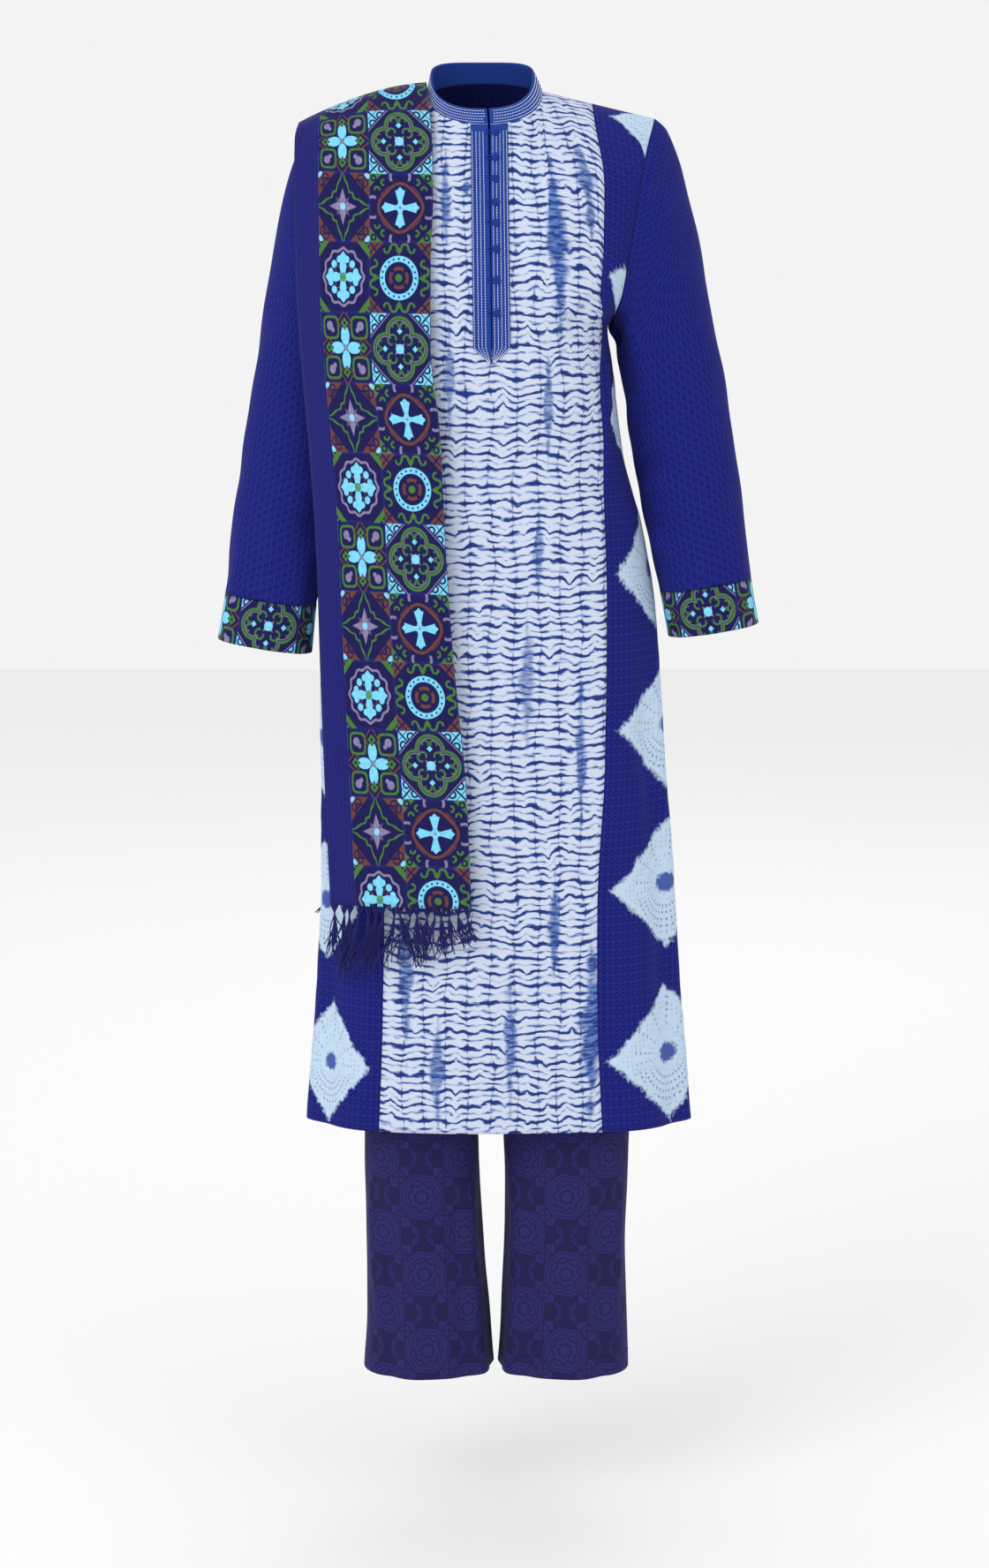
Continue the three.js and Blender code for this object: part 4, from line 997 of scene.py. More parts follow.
def leg_points(hand, side, leg, shares, z):
    """A leg panel from the side seam (share 0) to the centre or inner seam (share 1). Between the crotch
    heights the hip's quarter section turns into half a leg's superellipse."""
    hip, thigh = hips(z), leg(z)
    turn = np.pi / 2 * shares
    depth = hip["front"] if side < 0 else hip["back"]
    reach = np.maximum(hip["half"] * signed_power(np.cos(turn), 2 / BODY_ROUND), SEAM / 2)
    on_hip = np.stack([
        hip["shift"] + hand * reach,
        side * depth * signed_power(np.sin(turn), 2 / BODY_ROUND),
    ], -1)
    turn = np.pi * shares
    on_leg = np.stack([
        thigh["x"] + hand * thigh["half"] * signed_power(np.cos(turn), 2 / LEG_ROUND),
        thigh["y"] + side * thigh["depth"] * signed_power(np.sin(turn), 2 / LEG_ROUND),
    ], -1)
    divided = smooth((z - CROTCH_TOP_Z) / (CROTCH_Z - CROTCH_TOP_Z))
    flat = lerp(on_hip, on_leg, divided[..., None])
    heights = np.broadcast_to(z, flat.shape[:2])[..., None]
    return np.concatenate([flat + np.array([0, side * SEAM / 2]), heights], -1)


def add_leg_panel(material, settings, leg_name, hand, leg, face_name, side):
    """One of the four leg panels, with its creases, which fade out above the crotch."""
    shares = np.linspace(0, 1, 41)[:, None]
    z = np.linspace(WAIST_Z, TROUSER_HEM_Z, 170)[None]
    points = leg_points(hand, side, leg, shares, z)
    at = leg(z)
    centre = np.stack([at["x"], at["y"], z], -1)
    across = shares * np.pi * LEG_RADIUS * (-side)
    height = folds(across, z, LEG_FOLDS, 2 * np.pi * LEG_RADIUS) * settings.fold_depth
    ripple_across, ripple_down = np.cos(np.pi * shares) * 70, z + side * np.sin(np.pi * shares) * 60
    height = height + ripples(ripple_across, ripple_down, 90, 0.5, 51 + hand)
    height = height * smooth((CROTCH_Z + 40 - z) / 60)
    normals = grid_normals(points)
    below_crotch = z[0] < CROTCH_Z
    normals = normals * np.sign((normals * (points - centre)).sum(axis=-1)[:, below_crotch].mean())
    outwards = unit((points - centre) * np.array([1, 1, 0]))
    normals[[0, -1]] = outwards[[0, -1]]
    points = points + normals * height[..., None]
    name = f"trouser_{leg_name}_{face_name}"
    cloth(f"{name}_cloth", name, points, lengths_across(points, len(points) // 2) * hand * side,
          np.broadcast_to(WAIST_Z - z, points.shape[:2]), material, "trouser_cloth", settings.cloth, "hung",
          centre)


def add_waistband(material, settings):
    """The waist casing: a ring on the hips' section, with small even gathers."""
    turns = np.linspace(0, 2 * np.pi, 97)[:, None]
    shares = np.linspace(0, 1, 9)[None]
    heights = np.linspace(WAIST_Z + WAISTBAND_HEIGHT, WAIST_Z + SEAM, 9)[None]
    hip = hips(heights)
    depth = np.where(np.sin(turns) < 0, hip["front"], hip["back"])
    gathers = 0.7 * np.sin(turns * 46) * np.sin(np.pi * shares)
    points = np.stack(np.broadcast_arrays(
        hip["shift"] + (hip["half"] + gathers) * signed_power(np.cos(turns), 2 / BODY_ROUND),
        (depth + gathers) * signed_power(np.sin(turns), 2 / BODY_ROUND), heights), -1)
    cloth("waistband_cloth", "waistband", points[:-1], lengths_across(points, 0), lengths_down(points, 0),
          material, "trouser_cloth", settings.band, "gathered", axis_points(points[:-1]), ring=True)


def add_trousers(context, material):
    settings = settings_of(context)
    for leg_name, hand, leg in (("left", 1, left_leg), ("right", -1, right_leg)):
        for face_name, side in (("front", -1), ("back", 1)):
            add_leg_panel(material, settings, leg_name, hand, leg, face_name, side)
    add_waistband(material, settings)


# ---------------------------------------------------------------- dupatta


def fall_points(path, shares, insets):
    """The dupatta across (0 at the neck, 1 over the arm) and along its path: minus 12 is the front end, 0 the
    shoulder's ridge and 12 the back end. The middle bows out along the cloth's tilted normal."""
    step = np.abs(path)
    ahead, behind = front_fall(step), back_fall(step)
    at = {key: np.where(path < 0, ahead[key], behind[key]) for key in ahead}
    side = np.where(path < 0, -1.0, np.where(path > 0, 1.0, 0.0))
    tilt = np.radians(at["tilt"])
    out = np.stack([np.zeros_like(tilt), side * np.cos(tilt), np.sin(tilt)], -1)[None]
    ends = [np.stack([at[f"{end}_{axis}"] for axis in "xyz"], -1)[None] for end in ("neck", "arm")]
    bow = 4 * at["bow"][None] * shares * (1 - shares)
    return lerp(ends[0], ends[1], shares[..., None]) + out * (bow - insets)[..., None]


# How the cloth's width runs from its bordered edge over the arm (0) to the fold at the neck (1).
dupatta_width = profile("share", "share cloth", [(0, 0), (0.18, 39), (0.55, 105), (1, 171)])
LAYERS = 4
LAYER_PITCH = 1.05
LAYER_CELLS = 28
DUPATTA_ROWS = 112
TURN_CLOTH = 1.7  # cloth taken up by the turn between two layers


def folded_section():
    """The folded cloth's cross-section, from the bordered edge over the arm: four layers that run to and fro,
    each joined to the next by a half circle. Gives shares, insets and cloth distances."""
    shares, insets, run = [], [], []
    place = 0.0
    edges = [(1.0, 0.0), (0.004, 0.978), (0.984, 0.008), (0.002, 0.97)]
    for layer, (start, end) in enumerate(edges):
        depth = 0.3 + layer * LAYER_PITCH
        line = np.linspace(start, end, LAYER_CELLS + 1)
        if layer == 0:
            cloth_run = dupatta_width(1 - line)["cloth"]
        else:
            cloth_run = place + np.abs(line - start) * DUPATTA_ACROSS
        shares.append(line)
        insets.append(np.full(len(line), depth))
        run.append(cloth_run)
        place = cloth_run[-1] + TURN_CLOTH
        if layer < LAYERS - 1:
            turn = np.linspace(0, np.pi, 6)[1:-1]
            bulge = np.sin(turn) * LAYER_PITCH / 2 / DUPATTA_ACROSS * (-1 if layer % 2 == 0 else 1)
            following = edges[layer + 1][0]
            shares.append(lerp(end, following, (1 - np.cos(turn)) / 2) + bulge)
            insets.append(depth + (1 - np.cos(turn)) / 2 * LAYER_PITCH)
            run.append(cloth_run[-1] + turn / np.pi * TURN_CLOTH)
    return (np.concatenate(values) for values in (shares, insets, run))


def dupatta_grid(settings, path, shares, insets):
    """The folded cloth's grid along its path, with its creases, and the cloth distance from its front end.
    The distance is measured from both ends and passes from one to the other over the shoulder."""
    across = shares[:, None]
    flat = fall_points(path, across, insets[:, None])
    from_front = lengths_down(flat, 0)
    from_back = from_front[:, -1:] - from_front
    over = smooth((path[None] + DUPATTA_SPLIT) / (2 * DUPATTA_SPLIT))
    along = lerp(from_front, from_front[:, -1:].mean() - from_back, over)
    height = folds(across * DUPATTA_ACROSS, along, DUPATTA_FOLDS) * settings.fold_depth
    height = height + ripples(across * DUPATTA_ACROSS, along, 110, 0.35, 61)
    return fall_points(path, across, insets[:, None] - height), along


def add_dupatta(context, material):
    """The three stretches of one folded cloth, each a third of its rows, with a row shared between two."""
    settings = settings_of(context)
    shares, insets, run = folded_section()
    path = np.linspace(-DUPATTA_END, DUPATTA_END, 3 * DUPATTA_ROWS + 1)
    points, along = dupatta_grid(settings, path, shares, insets)
    across = np.broadcast_to(run[:, None], along.shape)
    for number, part in enumerate(("front", "shoulder", "back")):
        window = (slice(None), slice(number * DUPATTA_ROWS, (number + 1) * DUPATTA_ROWS + 1))
        folded_cloth(f"dupatta_{part}", points[window], across[window], along[window], material, settings)


def folded_cloth(node, points, across, down, material, settings):
    """The folded cloth as one thin shell. Its first layer faces out, and settles how all its faces turn."""
    inside = points.mean(axis=0, keepdims=True) * np.array([1, 0.2, 1]) - np.array([0, 0, 30])
    away = (grid_normals(points) * (points - inside)).sum(axis=-1)[:LAYER_CELLS]
    cells, flat = grid_faces(*points.shape[:2])
    places = np.stack([across, down], axis=-1).reshape(-1, 2)
    piece = shell(f"{node}_cloth", node, points, cells, [("Cloth", places[flat] * MM)], away.mean() >= 0,
                  material, "dupatta_cloth", settings.layer, 0.0)


FRINGE_KNOTS = 17
FRINGE_STEPS = 15


def fringe_paths(rng, count, side):
    """Threads gathered by knots below the hem, and their shares of length. A thread's way aside is a seeded
    sum of smooth wanders that grow with a power of the loose share of its length."""
    knot_shares = np.linspace(0.03, 0.97, FRINGE_KNOTS) + rng.uniform(-0.015, 0.015, FRINGE_KNOTS)
    knot = rng.integers(0, FRINGE_KNOTS, count)
    start = np.clip(knot_shares[knot] + rng.uniform(-0.035, 0.035, count), 0.0, 1.0)
    gather = knot_shares[knot]
    inset = rng.uniform(0.2, 3.6, count)
    reach = (fringe_reach(gather)["length"] * rng.uniform(0.55, 1.1, count))[:, None]
    knot_drop = (9 + 5 * rng.random(FRINGE_KNOTS))[knot][:, None]
    shares = np.linspace(0, 1, FRINGE_STEPS)[None]
    drop = shares * reach
    loose = np.clip((drop - knot_drop) / reach, 0, 1)
    share = lerp(start[:, None], gather[:, None], smooth(drop / knot_drop))
    paths = fall_points(np.array([side * DUPATTA_END]), share, inset[:, None])
    wander = rng.normal(0, 1, (count, 3))
    sway = np.sin(loose * np.pi * rng.uniform(0.8, 2.4, (count, 1)) + rng.uniform(0, 6.3, (count, 1)))
    bundle = rng.normal(0, 1, FRINGE_KNOTS)[knot][:, None]
    paths[..., 0] += (wander[:, :1] * 8 + bundle * 13 - 6) * loose**1.4 + 4.6 * sway * loose**0.7
    paths[..., 1] += np.abs(wander[:, 1:2]) * 2.2 * loose**1.4 * side
    paths[..., 2] -= drop - 0.9
    return paths, shares


def add_fringe(context, material):
    count = settings_of(context).threads
    for name, side, seed in (("fringe_front", -1, 71), ("fringe_back", 1, 72)):
        rng = np.random.default_rng(seed)
        paths, shares = fringe_paths(rng, count, side)
        radii = rng.uniform(0.5, 0.78, (count, 1)) * (1 - 0.25 * shares)
        piece = tubes(f"{name}_threads", paths, radii, 6, material, "fringe_thread")
        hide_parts(name)


# ---------------------------------------------------------------- stitches


def stitches(name, rows, material, slot, pitch=2.8, radius=0.42):
    """Running stitches along rows of (points, outward normals), each a short thread that dips in."""
    paths = []
    for points, normals in rows:
        run = run_along(points)
        starts = np.arange(pitch, run[-1] - pitch, pitch)
        share = np.linspace(0, 1, 4)
        at = starts[:, None] + share[None] * pitch * 0.66
        place = np.stack([np.interp(at, run, points[:, axis]) for axis in range(3)], -1)
        out = np.stack([np.interp(at, run, normals[:, axis]) for axis in range(3)], -1)
        lift = 0.1 + 0.34 * np.sin(np.pi * share)
        paths.append(place + out * lift[None, :, None])
    paths = np.concatenate(paths)
    return tubes(name, paths, np.full(paths.shape[:2], radius), 4, material, slot, reference=(0.3, 0.5, 0.8))


def collar_rows():
    turns = np.linspace(COLLAR_START + 0.02, COLLAR_FINISH - 0.02, 400)
    points = collar_points(turns, np.array([0.12, 0.3, 0.48, 0.66, 0.84]))
    out = from_neck(points)
    return [(points[:, k], out[:, k]) for k in range(points.shape[1])]


def placket_stitch_rows():
    rows = []
    for hand, shares in ((1, (0.14, 0.34, 0.54, 0.74, 0.92)), (-1, (0.3, 0.5, 0.7, 0.92))):
        z = placket_rows(np.array(shares), hand)[:, 2:]
        points = placket_points(hand, np.array(shares), z)
        out = np.zeros_like(points)
        out[..., 1] = -1
        rows += [(points[k], out[k]) for k in range(len(shares))]
    return rows


def trouser_hem_rows():
    rows = []
    z = np.full((1, 1), TROUSER_HEM_Z + 20)
    for hand, leg in ((1, left_leg), (-1, right_leg)):
        for side in (-1, 1):
            points = leg_points(hand, side, leg, np.linspace(0.02, 0.98, 120)[:, None], z)[:, 0]
            centre = np.array([float(leg(z)["x"][0, 0]), float(leg(z)["y"][0, 0]), 0])
            out = unit((points - centre) * np.array([1, 1, 0]))
            rows.append((points + out * 0.4, out))
    return rows


# ---------------------------------------------------------------- shader fields


class Field:
    """A value in a node tree, so that a pattern is written as a sum."""

    def __init__(self, tree, socket):
        self.tree, self.socket = tree, socket

    def math(self, operation, *others):
        node = self.tree.nodes.new("ShaderNodeMath")
        node.operation = operation
        for entry, value in zip(node.inputs, (self, *others)):
            if isinstance(value, Field):
                self.tree.links.new(value.socket, entry)
            else:
                entry.default_value = value
        return Field(self.tree, node.outputs[0])

    def __add__(self, other):
        return self.math("ADD", other)

    def __sub__(self, other):
        return self.math("SUBTRACT", other)

    def __mul__(self, other):
        return self.math("MULTIPLY", other)

    def __truediv__(self, other):
        return self.math("DIVIDE", other)

    def __neg__(self):
        return self * -1.0

    def __abs__(self):
        return self.math("ABSOLUTE")

    __radd__, __rmul__ = __add__, __mul__

    def __rsub__(self, other):
        return -self + other

    def root(self):
        return self.math("SQRT")

    def squared(self):
        return self * self

    def below(self, edge, soft=0.05):
        """1 where the value is under the edge, 0 over it, with a smooth step between."""
        node = self.tree.nodes.new("ShaderNodeMapRange")
        node.interpolation_type = "SMOOTHSTEP"
        self.tree.links.new(self.socket, node.inputs["Value"])
        node.inputs["From Min"].default_value = edge - soft / 2
        node.inputs["From Max"].default_value = edge + soft / 2
        node.inputs["To Min"].default_value = 1.0
        node.inputs["To Max"].default_value = 0.0
        return Field(self.tree, node.outputs["Result"])

    def near(self, place, reach, soft=0.05):
        return abs(self - place).below(reach, soft)

    def fold(self, pitch):
        """Distance from the nearest multiple of the pitch, with its sign."""
        return self - (self / pitch).math("ROUND") * pitch

    def cycle(self, count):
        """A whole number's place in turns of a count: 0, 1 and so on up to under the count."""
        share = self / count
        return (share - share.math("FLOOR")) * count

    def wave(self, pitch):
        return (self * (2 * math.pi / pitch)).math("COSINE")

    def either(self, other):
        return self.math("MAXIMUM", other)

    def both(self, other):
        return self.math("MINIMUM", other)


def split_map(tree, name, scale):
    """The two fields of a UV map, in the units of the scale."""
    node = tree.nodes.new("ShaderNodeUVMap")
    node.uv_map = name
    parts = tree.nodes.new("ShaderNodeSeparateXYZ")
    tree.links.new(node.outputs[0], parts.inputs[0])
    return Field(tree, parts.outputs[0]) * scale, Field(tree, parts.outputs[1]) * scale


def distance(x, y):
    return (x.squared() + y.squared()).root()


def noise(tree, across, down, seed, detail=2.0):
    """Smooth noise of about 0.5, one unit of the fields to a blob."""
    place = tree.nodes.new("ShaderNodeCombineXYZ")
    tree.links.new(across.socket, place.inputs[0])
    tree.links.new(down.socket, place.inputs[1])
    place.inputs[2].default_value = seed
    node = tree.nodes.new("ShaderNodeTexNoise")
    node.inputs["Scale"].default_value = 1.0
    node.inputs["Detail"].default_value = detail
    tree.links.new(place.outputs[0], node.inputs["Vector"])
    return Field(tree, node.outputs[0])


def tint(tree, ground, colour, amount):
    """The ground colour with a second colour over it by an amount; a colour is a socket or its values."""
    node = tree.nodes.new("ShaderNodeMix")
    node.data_type = "RGBA"
    tree.links.new(amount.socket, node.inputs[0])
    for entry, value in ((node.inputs[6], ground), (node.inputs[7], colour)):
        if isinstance(value, bpy.types.NodeSocket):
            tree.links.new(value, entry)
        else:
            entry.default_value = (*value[:3], 1.0)
    return node.outputs[2]


def srgb(red, green, blue):
    """Linear values of a display colour given in 0 to 255."""
    values = np.array([red, green, blue]) / 255
    linear = np.where(values < 0.04045, values / 12.92, ((values + 0.055) / 1.055) ** 2.4)
    return tuple(float(value) for value in linear)


WEAVE_RELIEF = 0.00025


def weave_group():
    """Shared by every cloth: slubs along both threads vary the colour and give the relief."""
    tree = bpy.data.node_groups.new("Weave", "ShaderNodeTree")
    tree.interface.new_socket("Cloth", in_out="INPUT", socket_type="NodeSocketVector")
    tree.interface.new_socket("Colour", in_out="INPUT", socket_type="NodeSocketColor")
    tree.interface.new_socket("Colour", in_out="OUTPUT", socket_type="NodeSocketColor")
    tree.interface.new_socket("Relief", in_out="OUTPUT", socket_type="NodeSocketFloat")
    start, end = tree.nodes.new("NodeGroupInput"), tree.nodes.new("NodeGroupOutput")
    parts = tree.nodes.new("ShaderNodeSeparateXYZ")
    tree.links.new(start.outputs["Cloth"], parts.inputs[0])
    across, down = (Field(tree, parts.outputs[axis]) * 1000.0 for axis in (0, 1))
    warp = noise(tree, across / 0.7, down / 9.0, 3.0)
    weft = noise(tree, across / 9.0, down / 0.7, 8.0)
    relief = warp + weft
    amount = (relief - 1.0).math("ABSOLUTE") * 0.9
    darker = tree.nodes.new("ShaderNodeHueSaturation")
    darker.inputs["Value"].default_value = 0.8
    tree.links.new(start.outputs["Colour"], darker.inputs["Color"])
    tree.links.new(tint(tree, start.outputs["Colour"], darker.outputs[0], amount), end.inputs["Colour"])
    tree.links.new(relief.socket, end.inputs["Relief"])
    return tree


def principled(name, roughness, sheen, specular):
    """A new material and its shader, with its finish set."""
    material = bpy.data.materials.new(name)
    material.use_nodes = True
    shader = material.node_tree.nodes["Principled BSDF"]
    shader.inputs["Roughness"].default_value = roughness
    shader.inputs["Sheen Weight"].default_value = sheen
    shader.inputs["Specular IOR Level"].default_value = specular
    return material, shader


def cloth_material(name, colour_of, colours, roughness=0.9, sheen=0.03):
    """A woven cloth's material. colour_of(tree, across, down, colours) gives the dyed or printed colour from
    the distances across and down in millimetres."""
    material, shader = principled(name, roughness, sheen, 0.1)
    tree = material.node_tree
    across, down = split_map(tree, "Cloth", 1000.0)
    dyed = colour_of(tree, across, down, colours)
    weave = tree.nodes.new("ShaderNodeGroup")
    weave.node_tree = bpy.data.node_groups.get("Weave") or weave_group()
    place = tree.nodes.new("ShaderNodeUVMap")
    place.uv_map = "Cloth"
    tree.links.new(place.outputs[0], weave.inputs["Cloth"])
    if isinstance(dyed, bpy.types.NodeSocket):
        tree.links.new(dyed, weave.inputs["Colour"])
    else:
        weave.inputs["Colour"].default_value = (*dyed[:3], 1.0)
    tree.links.new(weave.outputs["Colour"], shader.inputs["Base Color"])
    shader.inputs["Sheen Roughness"].default_value = 0.5
    bump = tree.nodes.new("ShaderNodeBump")
    bump.inputs["Distance"].default_value = WEAVE_RELIEF
    bump.inputs["Strength"].default_value = 0.5
    tree.links.new(weave.outputs["Relief"], bump.inputs["Height"])
    tree.links.new(bump.outputs[0], shader.inputs["Normal"])
    return material


def one_colour(tree, across, down, colours):
    return colours[0]


# Places where the dye of the stripes has run: across, down, half width, half height and weight.
DYE_RUNS = [
    (74, 150, 13, 108, 1.0), (108, 1000, 13, 100, 1.0), (-24, 98, 6, 9, 1.2), (-46, 110, 6, 60, 0.8),
    (-66, 420, 8, 60, 0.6), (38, 620, 9, 70, 0.6), (-92, 930, 9, 80, 0.8), (112, 88, 9, 60, 0.8),
    (60, 330, 6, 60, 0.7), (-44, 300, 6, 60, 0.6), (20, 1010, 8, 70, 0.8), (-58, 1040, 8, 60, 0.8),
    (68, 880, 7, 50, 1.0), (96, 700, 6, 80, 0.8), (50, 480, 6, 50, 0.6),
]


def dye_runs(across, down, blur):
    """How far the dye has run at each place, over all the runs."""
    bleed = 0.0
    for middle, level, half, height, weight in DYE_RUNS:
        off = abs(across - middle) / half + abs(down - level) / height + (blur - 0.5) * 2.2
        bleed = (off.below(0.9, 0.8) * weight).either(bleed)
    return bleed.both(1.0)


def striped(tree, across, down, colours):
    """Dyed crosswise lines on a light ground, 8 mm apart and every second one stronger, broken and wavy, with
    lengthwise fold marks and a few places where the dye has run."""
    ground, line, edge = colours
    pitch, fold_pitch = 8.2, 24.5
    sway = noise(tree, across / 60.0, down / 90.0, 3.0)
    columns = abs((across + (sway - 0.5) * 26.0).fold(fold_pitch))
    drift = noise(tree, across / 34.0, down / 46.0, 1.0)
    shake = noise(tree, across / 22.0, down / 9.0, 2.0)
    chevron_sway = noise(tree, across / 49.0, down / 44.0, 11.0) - 0.5
    chevron = (columns * columns / (fold_pitch / 2) - 4.1) * chevron_sway * 3.0
    level = down + (drift - 0.5) * 22.0 + (shake - 0.5) * 3.4 + chevron
    crest = level.wave(pitch) * 0.85 + level.wave(2 * pitch) * 0.3
    breaks = noise(tree, across / 13.0, down / 3.0, 5.0)
    strength = crest + (breaks - 0.5) * 2.6 + (5.0 - columns) * 0.05
    mark = noise(tree, across / 3.0, down / 12.0, 7.0)
    spindle = columns / 3.0 + abs(level.fold(2 * pitch)) / 5.0 + (mark - 0.5) * 2.4
    thread = columns.below(0.7, 0.9) * mark.near(0.55, 0.16, 0.1)
    bleed = dye_runs(across, down, noise(tree, across / 18.0, down / 24.0, 9.0))
    dyed = tint(tree, ground, edge, (1.0 - strength.below(0.26, 0.9)) * 0.8)
    dyed = tint(tree, dyed, line, (1.0 - strength.below(0.66, 0.5)) * 0.94)
    dyed = tint(tree, dyed, edge, thread * 0.22)
    dyed = tint(tree, dyed, line, spindle.below(0.85, 0.6) * 0.75)
    dyed = tint(tree, dyed, edge, bleed * 0.85)
    return tint(tree, dyed, line, bleed * (1.0 - breaks.below(0.5, 0.2)) * 0.85)


def ringed(tree, across, down, colours):
    """Small darker oval rings on a straight grid."""
    wide, high = 6.9, 9.2
    reach = distance(across.fold(wide) / (wide * 0.34), down.fold(high) / (high * 0.36))
    wear = noise(tree, across / 30.0, down / 30.0, 4.0)
    return tint(tree, colours[0], colours[1], (reach.near(0.86, 0.24, 0.2) * (0.75 + wear)).both(1.0))


def tie_dyed(tree, across, down, colours):
    """The ringed blue cloth with tied diamonds: a light feathered edge, a rim of dots and a blue heart."""
    light, heart = colours[2:]
    dot_pitch = 5.2
    p, q = split_map(tree, "Dye", 1.0)
    frill = noise(tree, across / 4.0, down / 4.0, 6.0)
    blur = noise(tree, across / 14.0, down / 14.0, 2.0)
    reach = abs(p) + abs(q) + (blur - 0.5) * 0.22
    feather = (reach + (frill - 0.5) * 0.2).below(0.95, 0.12)
    dots = distance(across.fold(dot_pitch), down.fold(dot_pitch)).below(1.5, 1.2)
    rims = (reach.near(0.72, 0.09, 0.08) * dots).either(reach.near(0.42, 0.05, 0.06) * dots)
    swing = q.math("ARCTAN2", p)
    around = distance(p * 1.25, q + 0.05)
    arcs = around.wave(0.1).near(1.0, 0.5, 0.6) * swing.wave(0.14).near(1.0, 0.7, 0.7)
    arcs = arcs * around.near(0.56, 0.24, 0.1) * (1.0 - q.below(0.16, 0.16)) * reach.below(0.84, 0.08)
    rays = swing.wave(0.5).near(1.0, 0.1, 0.14) * around.wave(0.09).near(1.0, 0.6, 0.6)
    rays = rays * around.near(0.52, 0.24, 0.1) * q.below(0.1, 0.16)
    eye = distance(p * 2.6, q * 3.0) + (frill - 0.5) * 0.4
    dyed = tint(tree, ringed(tree, across, down, colours), light, (feather * (0.84 + 0.3 * frill)).both(1.0))
    dyed = tint(tree, dyed, colours[0], (rims * 0.2).either(arcs * 0.6).either(rays * 0.5))
    return tint(tree, dyed, heart, eye.below(0.42, 0.22) * 0.9)


def medallions(tree, across, down, colours):
    """Eight-sided rings with crossed squares, in columns with every second one shifted by half a repeat."""
    wide, high, half = 49.0, 87.0, 22.0
    column = (across / wide).math("ROUND")
    shifted = down + column.cycle(2.0) * (high / 2)
    x, y = across.fold(wide) / half, shifted.fold(high) / half
    turn = math.radians(8)
    p = abs(x * math.cos(turn) + y * math.sin(turn))
    q = abs(y * math.cos(turn) - x * math.sin(turn))
    square = p.either(q)
    diamond = (p + q) / 2**0.5
    octagon = square.either(diamond)
    star = square.both(diamond)
    lines = octagon.near(0.8, 0.03, 0.05).either(star.near(0.52, 0.045, 0.05) * octagon.below(0.74, 0.04))
    lines = lines.either(star.near(0.26, 0.045, 0.05)).either(octagon.near(1.0, 0.03, 0.05))
    disc = octagon.below(1.12, 0.05) * (1.0 - lines)
    u = abs((across + wide / 2).fold(wide)) / half
    v = abs((shifted + high / 4).fold(high / 2)) / half
    slant = abs(u - v)
    block = u.either(v).below(0.5, 0.05) * (1.0 - (u + v).near(0.42, 0.05, 0.05))
    block = block * (1.0 - u.both(v).below(0.04, 0.04))
    bars = slant.below(0.16, 0.04) * u.near(0.74, 0.16, 0.05) * (1.0 - slant.below(0.04, 0.03))
    wear = noise(tree, across / 5.0, down / 5.0, 2.0)
    light = disc.either((block.either(bars)) * (1.0 - octagon.below(1.2, 0.04)))
    return tint(tree, colours[0], colours[1], (light * (0.72 + 0.5 * wear)).both(1.0))


TILE_WIDTH, TILE_HEIGHT = 66.0, 73.6


